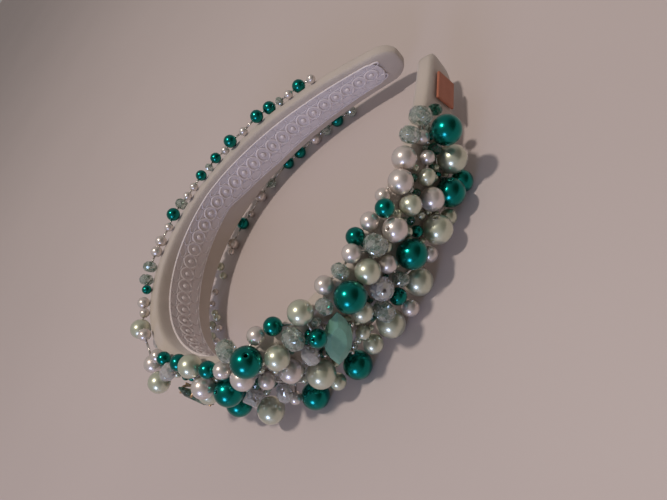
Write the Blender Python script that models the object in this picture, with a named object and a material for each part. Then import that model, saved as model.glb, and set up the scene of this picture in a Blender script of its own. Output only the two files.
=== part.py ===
"""Padded fabric headband covered with pearls, crystals and cut stones, lying on its side.

Lengths are in millimetres while shapes are worked out, and meshes are made in metres. A place on the band
is given by three measures: along (from the crown, + on the far arm and - on the near arm), across (above
or below the middle of its width) and out (from the middle of its thickness). +X runs from the crown to
the open tips, and +Z is up from the surface it lies on.
"""

import heapq
import math
from collections import namedtuple

import bmesh
import bpy
import numpy as np
from mathutils import Matrix, Vector

MM = 0.001
GAP = 0.32

# Band
HALF_LENGTH = 188.0
BEND_RADII = (46.0, 58.0, 80.0, 128.0, 330.0)
CROWN_WIDTH = 26.5
TIP_WIDTH = 14.0
THICKNESS = 6.5
EDGE_ROUND = 3.0
CROWN_HEIGHT = 24.2
TIP_DROP = 0.067
CROWN_X = -68.36
SHIFT_Y = 1.2
SECTION_STEP = 9.4

# Braid on the inner face
BRAID_HALF_LENGTH = 180.0
BRAID_FLOOR = 1.0
BRAID_CORD = 1.8
BraidEdge = namedtuple("BraidEdge", "along low high")
BRAID_EDGES = [
    BraidEdge(0, -7.5, 8.0),
    BraidEdge(35, -7.0, 8.5),
    BraidEdge(80, -2.5, 10.0),
    BraidEdge(113, -2.0, 10.6),
    BraidEdge(143, -1.0, 9.5),
    BraidEdge(180, 0.5, 7.5),
]

# Label on the near tip
LABEL_SKEW = 3.0
LABEL_THICKNESS = 1.0
LABEL_CLEAR = 0.15

# Beads this close to the surface under the headband rest on it
LYING_REACH = 1.0
LYING_PULL = 1.3

# Wire
WIRE_RADIUS = 0.4
ROUTE_STEP = 2.0
REACH = 11.0
STITCH_EVERY = 3

Bead = namedtuple("Bead", "kind size along across out")
Stone = namedtuple("Stone", "name length width along across out turn tilt")
Label = namedtuple("Label", "start end low high")

LABEL = Label(start=-166.0, end=-179.0, low=-6.6, high=4.6)

# Beads that are pieces of their own, the tip's first
SINGLE_BEADS = [
    Bead("crystal", 7, -139, 14, 5),
    Bead("emerald", 10, -144.5, 8, 12),
    Bead("mint", 10, -142, -4, 9),
    Bead("ivory", 8, -133, 14, 4),
    Bead("emerald", 10, -132, -8, 9),
    Bead("ivory", 8, -126, -1, 8),
    Bead("ivory", 8, -125, 13, 5),
    Bead("mint", 7, -120, 7, 7),
    Bead("mint", 10, -119, -8, 9),
    Bead("ivory", 8, -111, 9, 8),
    Bead("emerald", 10, -108, -2, 9),
    Bead("crystal", 8, -104, 13, 8),
    Bead("mint", 10, -103, -14, 7),
    Bead("mint", 8, -97, 10, 8),
    Bead("aurora", 8, -95, 0, 8),
    Bead("crystal", 8, -90, -6, 9),
    Bead("emerald", 10, -89, 11, 10),
    Bead("mint", 10, -87.5, -15, 7),
    Bead("mint", 7, -86, 0, 7),
    Bead("mint", 8, -77, 16, 4),
    Bead("emerald", 10, -71.5, -16, 8.5),
    Bead("crystal", 8, -70, 13, 7),
    Bead("aurora", 7, -68, 2, 7),
    Bead("mint", 10, -64, -7, 9),
    Bead("mint", 8, -63, 12, 7),
    Bead("ivory", 8, -60, 2, 8),
    Bead("emerald", 10, -56, 17, 7),
    Bead("emerald", 10, -54, -17, 9),
    Bead("crystal", 8, -50, 19, 1),
    Bead("ivory", 8, -50, 11.5, 8),
    Bead("aurora", 7, -48, -10, 7),
    Bead("emerald", 10, -40, 7, 9),
    Bead("mint", 10, -39, -15, 11),
    Bead("aurora", 8, -39, -6, 8),
    Bead("mint", 8, -32, 17, 2),
    Bead("emerald", 10, -28, -11, 8.6),
    Bead("mint", 8, -28.5, 4, 9),
    Bead("mint", 8, -14, 13, 11),
]

STONES = [
    Stone("frosted", length=18.5, width=9, along=-77, across=1, out=7, turn=-44, tilt=22),
    Stone("clear", length=17, width=7, along=-22, across=2.5, out=8.2, turn=90, tilt=8),
]

# Smaller beads, strung on wire
STRINGS = {
    "near_tip_string": [
        Bead("deep", 5, -155, 7, 5),
        Bead("crystal", 8, -147.5, 14, 6),
        Bead("ivory", 5, -144, 12.5, 6.5),
        Bead("deep", 5, -143, 4, 6),
        Bead("emerald", 8, -138, -12, 9),
        Bead("ivory", 5, -137, 6, 6),
        Bead("mint", 6, -131, 4, 7),
        Bead("mint", 6, -126, -13, 8),
        Bead("ivory", 5, -119, 15, 2),
        Bead("emerald", 6, -114, 16, 6),
    ],
    "near_arm_string": [
        Bead("ivory", 6, -112, -13, 7),
        Bead("ivory", 6, -110, 14, 2),
        Bead("emerald", 6, -104, 15, 1),
        Bead("ivory", 6, -102, 3, 7),
        Bead("crystal", 6, -100, -6, 7),
        Bead("ivory", 6, -99, 16, 4),
        Bead("emerald", 6, -96, -10, 6),
        Bead("ivory", 6, -95, -15, 9),
        Bead("crystal", 6, -93, 14, 3),
        Bead("ivory", 6, -87, 15, 2),
        Bead("crystal", 6, -82, 13, 5),
        Bead("mint", 5, -81, -8, 6),
        Bead("mint", 7, -80, -15, 8),
    ],
    "near_bend_string": [
        Bead("emerald", 6, -75, 9.5, 9.5),
        Bead("emerald", 6, -67, 17.5, 0.5),
        Bead("mint", 6, -64, -16, 10),
        Bead("ivory", 6, -61, 18, 0.5),
        Bead("ivory", 6, -51, 2, 7),
        Bead("ivory", 5, -48, -16, 8),
        Bead("ivory", 6, -45, 15, 4),
        Bead("emerald", 6, -39, 15, 3),
    ],
    "crown_string": [
        Bead("ivory", 8, -34, 10.5, 7),
        Bead("emerald", 6, -24, 16, 1),
        Bead("aurora", 7, -18, 15, 5),
        Bead("emerald", 5, -15, 15, 2.5),
        Bead("ivory", 5, -8, 14.5, 3.5),
        Bead("ivory", 7, -5.5, 13, 8),
        Bead("ivory", 5, 6, 16.5, 4),
        Bead("mint", 8, 12.5, 14.5, 7.5),
        Bead("ivory", 4, 18, 15, 4),
        Bead("ivory", 5, 23, 15, 4),
    ],
    "far_upper_string": [
        Bead("emerald", 4, 29, 15, 3),
        Bead("crystal", 6, 34, 15, 4),
        Bead("crystal", 6, 40, 15, 4),
        Bead("ivory", 5, 47, 15, 3),
        Bead("ivory", 5, 52, 15, 3),
        Bead("ivory", 4, 59, 15, 3),
        Bead("emerald", 6, 65, 15, 3),
        Bead("crystal", 6, 71, 13, 5),
        Bead("ivory", 4, 75, 15, 2),
        Bead("ivory", 4, 80, 14, 3),
        Bead("emerald", 5, 86, 14, 3),
    ],
    "far_tip_string": [
        Bead("crystal", 4, 91, 14, 3),
        Bead("emerald", 5, 96, 14, 3),
        Bead("ivory", 4, 101, 12, 4),
        Bead("emerald", 6, 106, 14, 2),
        Bead("ivory", 4, 113, 13, 3),
        Bead("emerald", 6, 122, 13, 3),
        Bead("emerald", 6, 128, 11, 5),
        Bead("crystal", 4, 134, 12, 3),
        Bead("ivory", 4, 139, 12, 3),
        Bead("emerald", 6, 144, 10, 5),
        Bead("ivory", 4, 151, 11, 3),
    ],
    "far_lower_string": [
        Bead("ivory", 6, 66, -20, 2),
        Bead("emerald", 6, 77, -19, 2),
        Bead("ivory", 4, 83, -20, 2),
        Bead("ivory", 6, 93, -18, 2),
        Bead("crystal", 6, 101, -18, 2),
        Bead("emerald", 6, 114, -17, 2),
        Bead("emerald", 6, 122, -17, 1),
        Bead("ivory", 6, 132, -15, 1),
        Bead("crystal", 6, 139, -15, 1),
        Bead("emerald", 6, 146, -15, 1),
        Bead("crystal", 6, 154, -14, 1),
    ],
}

# Outer face of the far arm, which repeats a short run of beads in two rows
FACE_RUNS = {"far_bend_face_string": (-6.0, 64.0), "far_arm_face_string": (74.0, 142.0)}
FACE_RUN_BEADS = (("mint", 6), ("emerald", 6), ("ivory", 8), ("ivory", 5), ("emerald", 8))
FACE_ROWS = (3.0, -6.0)
FACE_STEP = 17.0

# Cut stones and their settings
PLATE = 0.8
STONE_LEVELS = ((0.3, 0.45), (1.5, 0.98), (2.1, 1.0), (3.6, 0.55))
CLAW_POINTS = (2, 4, 8, 10)
CLAW_RADIUS = 0.45
POST_RADIUS = 1.1

FINISHES = {
    "emerald": ((0.0, 0.13, 0.09), 0.16, 0.35),
    "mint": ((0.50, 0.56, 0.40), 0.22, 0.1),
    "ivory": ((0.66, 0.58, 0.53), 0.22, 0.1),
    "crystal": ((0.42, 0.50, 0.45), 0.05, 0.0),
    "deep": ((0.01, 0.10, 0.07), 0.05, 0.0),
    "aurora": ((0.62, 0.56, 0.60), 0.08, 0.0),
    "frosted": ((0.18, 0.42, 0.32), 0.35, 0.0),
    "clear": ((0.02, 0.30, 0.20), 0.05, 0.0),
    "fabric": ((0.62, 0.54, 0.46), 0.85, 0.0),
    "braid": ((0.72, 0.68, 0.72), 0.6, 0.0),
    "leather": ((0.40, 0.15, 0.10), 0.6, 0.0),
    "silver": ((0.7, 0.68, 0.66), 0.3, 1.0),
    "gold": ((0.75, 0.55, 0.28), 0.3, 1.0),
}


def band_line(stations=377):
    """Arc lengths from the crown, and the far half's points and headings on the middle of the band."""
    along = np.linspace(0.0, HALF_LENGTH, stations)
    bends = np.interp(along, np.linspace(0.0, HALF_LENGTH, len(BEND_RADII)), 1 / np.array(BEND_RADII))
    step = along[1]
    heading = math.pi / 2 - np.concatenate([[0], np.cumsum((bends[1:] + bends[:-1]) / 2 * step)])
    run = np.stack([np.cos(heading), np.sin(heading)], 1)
    points = np.concatenate([[[0, 0]], np.cumsum((run[1:] + run[:-1]) / 2 * step, axis=0)])
    return along, points, heading


ALONG, HALF_LINE, HEADING = band_line()
OUTWARD = np.stack([-np.sin(HEADING), np.cos(HEADING)], 1)
NEAR = np.array([1.0, -1.0])
LINE_ALONG = np.concatenate([-ALONG[::-1], ALONG[1:]])
LINE = np.concatenate([HALF_LINE[::-1] * NEAR, HALF_LINE[1:]])
LINE_OUT = np.concatenate([OUTWARD[::-1] * NEAR, OUTWARD[1:]])


def band_width(along):
    return CROWN_WIDTH + (TIP_WIDTH - CROWN_WIDTH) * (np.abs(along) / HALF_LENGTH) ** 2


def place(along, across, out):
    """Point in space of a place on the band."""
    middle = np.array([np.interp(along, LINE_ALONG, LINE[:, i]) for i in (0, 1)])
    normal = np.array([np.interp(along, LINE_ALONG, LINE_OUT[:, i]) for i in (0, 1)])
    x, y = middle + normal / np.linalg.norm(normal) * out
    return np.array([x, y, CROWN_HEIGHT - TIP_DROP * x + across])


def directions(along):
    """Unit vectors out of the band, along it towards the far tip, and up."""
    normal = np.array([np.interp(along, LINE_ALONG, LINE_OUT[:, i]) for i in (0, 1)])
    normal /= np.linalg.norm(normal)
    outward = Vector((normal[0], normal[1], 0))
    return outward, Vector((normal[1], -normal[0], 0)), Vector((0, 0, 1))


def band_distance(points):
    """Distance of each point from the band's surface, and the direction away from it."""
    nearest = np.argmin(((points[:, None, :2] - LINE[None]) ** 2).sum(2), axis=1)
    normal = LINE_OUT[nearest]
    out = ((points[:, :2] - LINE[nearest]) * normal).sum(1)
    across = points[:, 2] - (CROWN_HEIGHT - TIP_DROP * points[:, 0])
    flat_out = np.abs(out) - (THICKNESS / 2 - EDGE_ROUND)
    flat_across = np.abs(across) - (band_width(LINE_ALONG[nearest]) / 2 - EDGE_ROUND)
    corner = np.stack([np.maximum(flat_out, 0), np.maximum(flat_across, 0)], 1)
    inside = np.minimum(np.maximum(flat_out, flat_across), 0)
    distance = np.hypot(*corner.T) + inside - EDGE_ROUND
    length = np.maximum(np.hypot(*corner.T), 1e-6)[:, None]
    away = np.where(corner.any(1)[:, None], corner / length, np.array([1.0, 0.0]))
    away *= np.stack([np.sign(out), np.sign(across)], 1)
    return distance, np.concatenate([normal * away[:, :1], away[:, 1:]], axis=1)


def navette(length, width, share, points=12):
    """Outline of a pointed oval, shrunk to a share of its size."""
    outline = []
    for i in range(points):
        turn = 2 * math.pi * i / points
        u = math.cos(turn)
        v = math.copysign(1 - abs(u) ** 2.4, math.sin(turn)) if abs(math.sin(turn)) > 1e-6 else 0.0
        outline.append((u * length / 2 * share, v * width / 2 * share))
    return outline


def stone_frame(stone):
    """Matrix whose X is a stone's long way and whose Z is the way it faces."""
    outward, tangent, up = directions(stone.along)
    tilt = math.radians(stone.tilt)
    turn = math.radians(stone.turn)
    facing = outward * math.cos(tilt) + up * math.sin(tilt)
    rise = up * math.cos(tilt) - outward * math.sin(tilt)
    long_way = tangent * math.cos(turn) + rise * math.sin(turn)
    frame = Matrix((long_way, facing.cross(long_way), facing)).transposed().to_4x4()
    return Matrix.Translation(place(stone.along, stone.across, stone.out)) @ frame


def setting_wires(stone):
    """Post and four claws of a stone's setting, each a list of points in space and a radius."""
    frame = stone_frame(stone)
    outward, _, _ = directions(stone.along)
    head = frame @ Vector((0, 0, -PLATE / 2))
    slant = PLATE / 2 * math.cos(math.radians(stone.tilt))
    foot = head - outward * (stone.out - THICKNESS / 2 - GAP - slant)
    wires = [([foot, head], POST_RADIUS)]
    girdle = navette(stone.length, stone.width, 1.0)
    for i in CLAW_POINTS:
        x, y = girdle[i]
        rim = Vector((x, y, 0))
        outside = Vector((x / stone.length, 2 * y / stone.width, 0)).normalized()
        outside *= CLAW_RADIUS + GAP + 0.15
        claw = [
            Vector((x * 0.72, y * 0.72, -PLATE / 2)),
            rim + outside + Vector((0, 0, 0.2)),
            rim + outside + Vector((0, 0, 2.2)),
            rim + outside * 0.6 + Vector((0, 0, 3.2)),
        ]
        wires.append(([frame @ point for point in claw], CLAW_RADIUS))
    return wires


def stone_room(stone):
    """Balls that cover a cut stone and its setting, to keep beads and wires off them."""
    frame = stone_frame(stone)
    reach = stone.length / 2 - stone.width * 0.42
    shares = ((-1, 0.42), (-0.5, 0.45), (0, 0.56), (0.5, 0.45), (1, 0.42))
    balls = [(np.array(frame @ Vector((reach * a, 0, 1.2))), stone.width * share) for a, share in shares]
    for points, radius in setting_wires(stone):
        balls += [(point, radius) for point in samples(np.array([np.array(p) for p in points]))]
    return balls


def samples(wire):
    """Points every half millimetre on a wire."""
    points = []
    for a, b in zip(wire, wire[1:]):
        count = max(int(np.linalg.norm(b - a) / 0.5), 1)
        points += [a + (b - a) * i / count for i in range(count + 1)]
    return np.array(points)


def face_beads(run):
    """Beads of one run on the far arm's outer face, two rows half a step apart."""
    start, end = run
    beads = []
    count = int((end - start) / FACE_STEP)
    for row, across in enumerate(FACE_ROWS):
        for i in range(count + 1):
            kind, size = FACE_RUN_BEADS[(2 * i + 3 * row) % len(FACE_RUN_BEADS)]
            along = start + FACE_STEP * (i + 0.5 * row)
            beads.append(Bead(kind, size, along, across, THICKNESS / 2 + GAP + size / 2))
    return beads


def settle(beads, fixed, rounds=400):
    """Centres of the beads once each is clear of the others, the band, the stones and the ground."""
    home = np.array([place(b.along, b.across, b.out) for b in beads])
    radius = np.array([b.size / 2 for b in beads])
    lying = home[:, 2] < radius + LYING_REACH
    home[lying, 2] = radius[lying] - LYING_PULL
    centre = home.copy()
    first, second = np.triu_indices(len(beads), 1)
    for turn in range(rounds):
        if turn < rounds * 0.6:
            distance, away = band_distance(centre)
            inward = np.clip(distance - radius - GAP, 0, 0.04)
            centre += 0.04 * (home - centre) - inward[:, None] * away
        apart = centre[second] - centre[first]
        length = np.linalg.norm(apart, axis=1)
        short = np.maximum(radius[first] + radius[second] + GAP - length, 0)
        push = (short / length)[:, None] * apart
        weight = (radius[second] ** 3 / (radius[first] ** 3 + radius[second] ** 3))[:, None]
        np.add.at(centre, first, -push * weight * 0.9)
        np.add.at(centre, second, push * (1 - weight) * 0.9)
        for middle, ball in fixed:
            apart = centre - middle
            length = np.linalg.norm(apart, axis=1)
            short = np.maximum(radius + ball + GAP - length, 0)
            centre += (short / length)[:, None] * apart
        distance, away = band_distance(centre)
        centre += np.maximum(radius + GAP - distance, 0)[:, None] * away
        centre[:, 2] = np.maximum(centre[:, 2], radius)
    return centre


def surface_ring(along):
    """Points round the outer side of the band, lower edge to upper edge, where a wire lies on it."""
    lift = WIRE_RADIUS + GAP + 0.15
    half = band_width(along) / 2 - EDGE_ROUND
    round_out = EDGE_ROUND + lift
    core = THICKNESS / 2 - EDGE_ROUND
    ring = []
    for degrees in (-90, -60, -30):
        angle = math.radians(degrees)
        ring.append((-half + round_out * math.sin(angle), core + round_out * math.cos(angle)))
    levels = max(int(2 * half / ROUTE_STEP), 2)
    ring += [(-half + 2 * half * i / levels, core + round_out) for i in range(levels + 1)]
    for degrees in (30, 60, 90):
        angle = math.radians(degrees)
        ring.append((half + round_out * math.sin(angle), core + round_out * math.cos(angle)))
    return [place(along, across, out) for across, out in ring]


def clear_between(starts, ends, balls, radii):
    """True for each straight run of wire that stays off every ball and off the band."""
    ways = ends - starts
    lengths = np.maximum((ways**2).sum(1), 1e-9)
    offset = balls[None] - starts[:, None]
    share = np.clip((offset * ways[:, None]).sum(2) / lengths[:, None], 0, 1)
    nearest = np.linalg.norm(offset - share[..., None] * ways[:, None], axis=2)
    free = (nearest >= radii[None] + WIRE_RADIUS + GAP).all(1)
    for part in (0.2, 0.35, 0.5, 0.65, 0.8):
        distance, _ = band_distance(starts + ways * part)
        free &= distance >= WIRE_RADIUS + GAP
    return free


def route_wire(centres, radii, balls, ball_radii):
    """Wires that join one string's beads, each a list of points, and stitches where they hang clear."""
    places = [band_along(centre) for centre in centres]
    low = max(min(places) - 6, -HALF_LENGTH + 4)
    high = min(max(places) + 6, HALF_LENGTH - 4)
    stations = np.linspace(low, high, int((high - low) / ROUTE_STEP) + 1)
    grid = np.array([p for a in stations for p in surface_ring(a)])
    points = np.concatenate([centres, grid])
    apart = np.linalg.norm(points[:, None] - points[None], axis=2)
    reach = np.full(apart.shape, ROUTE_STEP * 1.7)
    reach[: len(centres)] = REACH
    reach[:, : len(centres)] = REACH
    one, two = np.nonzero(np.triu((apart < reach) & (apart > 0), 1))
    free = clear_between(points[one], points[two], balls, ball_radii)
    steps = {}
    for a, b, length in zip(one[free], two[free], apart[one[free], two[free]]):
        steps.setdefault(a, []).append((b, length))
        steps.setdefault(b, []).append((a, length))
    wires = []
    joined = {0}
    while not joined.issuperset(range(len(centres))):
        path = shortest_path(steps, joined, len(centres))
        if not path:
            missing = sorted(set(range(len(centres))) - joined)
            raise RuntimeError(f"no way for the wire to beads {missing}")
        path = straighten(path, points, balls, ball_radii)
        joined.update(path)
        wires.append(points[path])
    off_band = band_distance(centres)[0] - radii
    for bead in range(0, len(centres), STITCH_EVERY):
        tie = [(length, there) for there, length in steps.get(bead, ()) if there >= len(centres)]
        if tie and 1.0 < off_band[bead] < 2.5:
            wires.append(points[[bead, min(tie)[1]]])
    return wires


def band_along(point):
    return LINE_ALONG[np.argmin(((point[:2] - LINE) ** 2).sum(1))]


def shortest_path(steps, joined, bead_count):
    """Shortest way from a joined bead to one that isn't, as point numbers, past all other beads."""
    best = {start: 0.0 for start in joined}
    before = {}
    queue = [(0.0, start) for start in sorted(joined)]
    while queue:
        cost, here = heapq.heappop(queue)
        if cost > best[here]:
            continue
        if here < bead_count and here not in joined:
            path = [here]
            while path[-1] in before:
                path.append(before[path[-1]])
            return path[::-1]
        for there, length in steps.get(here, ()):
            if cost + length < best.get(there, math.inf):
                best[there] = cost + length
                before[there] = here
                heapq.heappush(queue, (cost + length, there))
    return []


def straighten(path, points, balls, ball_radii):
    """The same way with the points left out that it doesn't need."""
    kept = [path[0]]
    here = 0
    while here < len(path) - 1:
        for there in range(len(path) - 1, here, -1):
            run = (points[path[here : here + 1]], points[path[there : there + 1]])
            if there == here + 1 or clear_between(*run, balls, ball_radii)[0]:
                break
        kept.append(path[there])
        here = there
    return kept


def finish(name):
    """Material of this name, made once."""
    if name in bpy.data.materials:
        return bpy.data.materials[name]
    colour, roughness, metallic = FINISHES[name]
    material = bpy.data.materials.new(name)
    material.use_nodes = True
    shader = material.node_tree.nodes["Principled BSDF"]
    shader.inputs["Base Color"].default_value = (*colour, 1)
    shader.inputs["Roughness"].default_value = roughness
    shader.inputs["Metallic"].default_value = metallic
    return material


def add_piece(name, shape, finish_name, collection):
    """Object of a bmesh whose lengths are in millimetres."""
    bmesh.ops.scale(shape, vec=(MM, MM, MM), verts=shape.verts)
    mesh = bpy.data.meshes.new(name)
    shape.to_mesh(mesh)
    shape.free()
    piece = bpy.data.objects.new(name, mesh)
    mesh.materials.append(finish(finish_name))
    collection.objects.link(piece)
    return piece


def loft(sections):
    """Closed bmesh through rings of equally many points, with flat ends."""
    shape = bmesh.new()
    rings = [[shape.verts.new(point) for point in section] for section in sections]
    for ring, following in zip(rings, rings[1:]):
        for i in range(len(ring)):
            j = (i + 1) % len(ring)
            shape.faces.new((ring[i], ring[j], following[j], following[i]))
    shape.faces.new(rings[0])
    shape.faces.new(rings[-1])
    bmesh.ops.recalc_face_normals(shape, faces=shape.faces)
    return shape


def band_sections(limit):
    """Places of the sections along the band, from tip to tip, closer where its ends are rounded."""
    half = [limit * i / round(limit / SECTION_STEP) for i in range(round(limit / SECTION_STEP) + 1)]
    return [-a for a in half[:0:-1]] + half


def padded_outline(width, thickness, rounding):
    """Across and out of a cushion-edged strip's outline: two points a corner and one at each edge."""
    points = []
    for across_side, out_side in ((-1, 1), (1, 1), (1, -1), (-1, -1)):
        for degrees in (15, 50, 80):
            angle = math.radians(degrees if across_side * out_side < 0 else 90 - degrees)
            across = across_side * (width / 2 - rounding + rounding * math.cos(angle))
            out = out_side * (thickness / 2 - rounding + rounding * math.sin(angle))
            points.append((across, out))
    return points


def make_band(collection):
    end_shares = ((0.0, 0.62), (0.8, 0.82), (2.4, 0.96), (5.0, 1.0))
    stations = [s for s in band_sections(HALF_LENGTH) if abs(s) < HALF_LENGTH - 7.0]
    ends = [(HALF_LENGTH - back, share) for back, share in end_shares]
    rows = [(-a, share) for a, share in ends] + [(s, 1.0) for s in stations]
    rows += [(a, share) for a, share in ends[::-1]]
    sections = []
    for along, share in rows:
        width = band_width(along) * share
        outline = padded_outline(width, THICKNESS * share, EDGE_ROUND * share)
        sections.append([place(along, across, out) for across, out in outline])
    band = add_piece("band", loft(sections), "fabric", collection)
    band.data.shade_smooth()
    return band


def make_braid(collection):
    """Woven trim on the inner face: a flat strip between two raised edge cords."""
    back = -THICKNESS / 2 - GAP
    sections = []
    for along in band_sections(BRAID_HALF_LENGTH):
        stations, lows, highs = zip(*BRAID_EDGES)
        low = np.interp(abs(along), stations, lows)
        high = np.interp(abs(along), stations, highs)
        outline = [
            (low, back),
            (high, back),
            (high, back - BRAID_CORD),
            (high - 1.4, back - BRAID_CORD),
            (high - 2.0, back - BRAID_FLOOR),
            (low + 2.0, back - BRAID_FLOOR),
            (low + 1.4, back - BRAID_CORD),
            (low, back - BRAID_CORD),
        ]
        sections.append([place(along, across, out) for across, out in outline])
    return add_piece("braid", loft(sections), "braid", collection)


def make_label(collection):
    """Leather patch, a plain parallelogram, flat on the near tip's outer face."""
    low_out = THICKNESS / 2 + GAP
    corners = (
        (LABEL.start, LABEL.low),
        (LABEL.start + LABEL_SKEW, LABEL.high),
        (LABEL.end + LABEL_SKEW, LABEL.high),
        (LABEL.end, LABEL.low),
    )
    outward, tangent, up = directions((LABEL.start + LABEL.end) / 2)
    centre = place((LABEL.start + LABEL.end) / 2, 0, low_out)
    sections = []
    for lift in (0.0, LABEL_THICKNESS):
        section = []
        for along, across in corners:
            run = along - (LABEL.start + LABEL.end) / 2
            point = Vector(centre) + tangent * run + up * (across - TIP_DROP * tangent.x * run)
            section.append(point + outward * (lift + LABEL_CLEAR))
        sections.append(section)
    return add_piece("label", loft(sections), "leather", collection)


def bead_shape(bead, centre, sides, rings):
    """Ball, or flattened rondelle for a crystal, threaded along the band."""
    shape = bmesh.new()
    bmesh.ops.create_uvsphere(shape, u_segments=sides, v_segments=rings, radius=bead.size / 2)
    if bead.kind in ("crystal", "deep"):
        bmesh.ops.scale(shape, vec=(1, 1, 0.8), verts=shape.verts)
    outward, tangent, up = directions(band_along(centre))
    turn = Matrix((up.cross(tangent), up, tangent)).transposed().to_4x4()
    bmesh.ops.transform(shape, matrix=Matrix.Translation(centre) @ turn, verts=shape.verts)
    return shape


def make_tube(name, points, radius, finish_name, collection):
    """Mesh tube through a few points, its caps welded on."""
    curve = bpy.data.curves.new(name, "CURVE")
    curve.dimensions = "3D"
    curve.bevel_depth = radius * MM
    curve.bevel_resolution = 1
    curve.use_fill_caps = True
    spline = curve.splines.new("POLY")
    spline.points.add(len(points) - 1)
    for target, point in zip(spline.points, points):
        target.co = (*(Vector(point) * MM), 1)
    line = bpy.data.objects.new(name, curve)
    collection.objects.link(line)
    bpy.context.view_layer.update()
    mesh = bpy.data.meshes.new_from_object(line.evaluated_get(bpy.context.evaluated_depsgraph_get()))
    bpy.data.objects.remove(line)
    shape = bmesh.new()
    shape.from_mesh(mesh)
    bmesh.ops.remove_doubles(shape, verts=shape.verts, dist=1e-6)
    bmesh.ops.recalc_face_normals(shape, faces=shape.faces)
    shape.to_mesh(mesh)
    shape.free()
    tube = bpy.data.objects.new(name, mesh)
    mesh.materials.append(finish(finish_name))
    collection.objects.link(tube)
    return tube


def fuse(name, pieces, collection):
    """One body from pieces that overlap, by a Boolean union."""
    group = bpy.data.collections.new(name + "_pieces")
    bpy.context.scene.collection.children.link(group)
    for piece in pieces[1:]:
        group.objects.link(piece)
    union = pieces[0].modifiers.new("union", "BOOLEAN")
    union.operation = "UNION"
    union.solver = "EXACT"
    union.operand_type = "COLLECTION"
    union.collection = group
    bpy.context.view_layer.update()
    graph = bpy.context.evaluated_depsgraph_get()
    mesh = bpy.data.meshes.new_from_object(pieces[0].evaluated_get(graph), depsgraph=graph)
    mesh.name = name
    for piece in pieces:
        bpy.data.objects.remove(piece)
    bpy.data.collections.remove(group)
    fused = bpy.data.objects.new(name, mesh)
    collection.objects.link(fused)
    return fused


def make_single_beads(centres, collection):
    numbers = {}
    for bead, centre in zip(SINGLE_BEADS, centres):
        numbers[bead.kind] = numbers.get(bead.kind, 0) + 1
        name = f"{bead.kind}_bead_{numbers[bead.kind]:02d}"
        rings = 6 if bead.size == 10 else 4
        piece = add_piece(name, bead_shape(bead, centre, 10, rings), bead.kind, collection)
        if bead.kind != "crystal":
            piece.data.shade_smooth()


def make_string(name, beads, centres, balls, ball_radii, collection):
    """Small beads of one string, fused with the wire that carries them."""
    radii = np.array([bead.size / 2 for bead in beads])
    wires = route_wire(np.array(centres), radii, balls, ball_radii)
    pieces = [
        add_piece(f"{name}_bead", bead_shape(bead, centre, 10, 4), bead.kind, collection)
        for bead, centre in zip(beads, centres)
    ]
    pieces += [make_tube(f"{name}_wire", wire, WIRE_RADIUS, "silver", collection) for wire in wires]
    fuse(name, pieces, collection)
    return wires


def make_stone(stone, metal, collection):
    """Faceted navette in a four-claw setting, whose post stands on the band."""
    frame = stone_frame(stone)
    sections = []
    for height, share in STONE_LEVELS:
        outline = navette(stone.length, stone.width, share)
        sections.append([frame @ Vector((x, y, height)) for x, y in outline])
    add_piece(f"{stone.name}_stone", loft(sections), stone.name, collection)

    outline = navette(stone.length, stone.width, 0.8)
    plate = [[frame @ Vector((x, y, z)) for x, y in outline] for z in (-PLATE, 0.0)]
    pieces = [add_piece("plate", loft(plate), metal, collection)]
    for points, radius in setting_wires(stone):
        pieces.append(make_tube("claw", points, radius, metal, collection))
    fuse(f"{stone.name}_setting", pieces, collection)


def main():
    for old in list(bpy.data.objects):
        bpy.data.objects.remove(old)
    tiara = bpy.data.collections.new("pearl_tiara")
    bpy.context.scene.collection.children.link(tiara)

    strings = dict(STRINGS)
    for name, run in FACE_RUNS.items():
        strings[name] = face_beads(run)
    small = [bead for beads in strings.values() for bead in beads]
    room = [ball for stone in STONES for ball in stone_room(stone)]
    centres = settle(SINGLE_BEADS + small, room)
    radii = np.array([bead.size / 2 for bead in SINGLE_BEADS + small])

    make_band(tiara)
    make_braid(tiara)
    make_label(tiara)
    make_single_beads(centres[: len(SINGLE_BEADS)], tiara)
    for stone, metal in zip(STONES, ("silver", "gold")):
        make_stone(stone, metal, tiara)

    stone_middles = np.array([middle for middle, _ in room])
    stone_radii = np.array([ball for _, ball in room])
    laid = np.zeros((0, 3))
    start = len(SINGLE_BEADS)
    for name, beads in strings.items():
        own = np.zeros(len(centres), bool)
        own[start : start + len(beads)] = True
        start += len(beads)
        balls = np.concatenate([centres[~own], stone_middles, laid])
        ball_radii = np.concatenate([radii[~own], stone_radii, np.full(len(laid), WIRE_RADIUS)])
        wires = make_string(name, beads, centres[own], balls, ball_radii, tiara)
        laid = np.concatenate([laid] + [samples(wire) for wire in wires])

    shift = Matrix.Translation(Vector((CROWN_X, SHIFT_Y, 0)) * MM)
    for piece in tiara.objects:
        piece.data.transform(shift)


main()
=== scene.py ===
"""Pearl tiara: a padded headband lying on its side, dressed with pearls, crystals and cut stones."""

import math
from collections import namedtuple

import bmesh
import bpy
import numpy as np
from mathutils import Matrix, Vector


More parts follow.
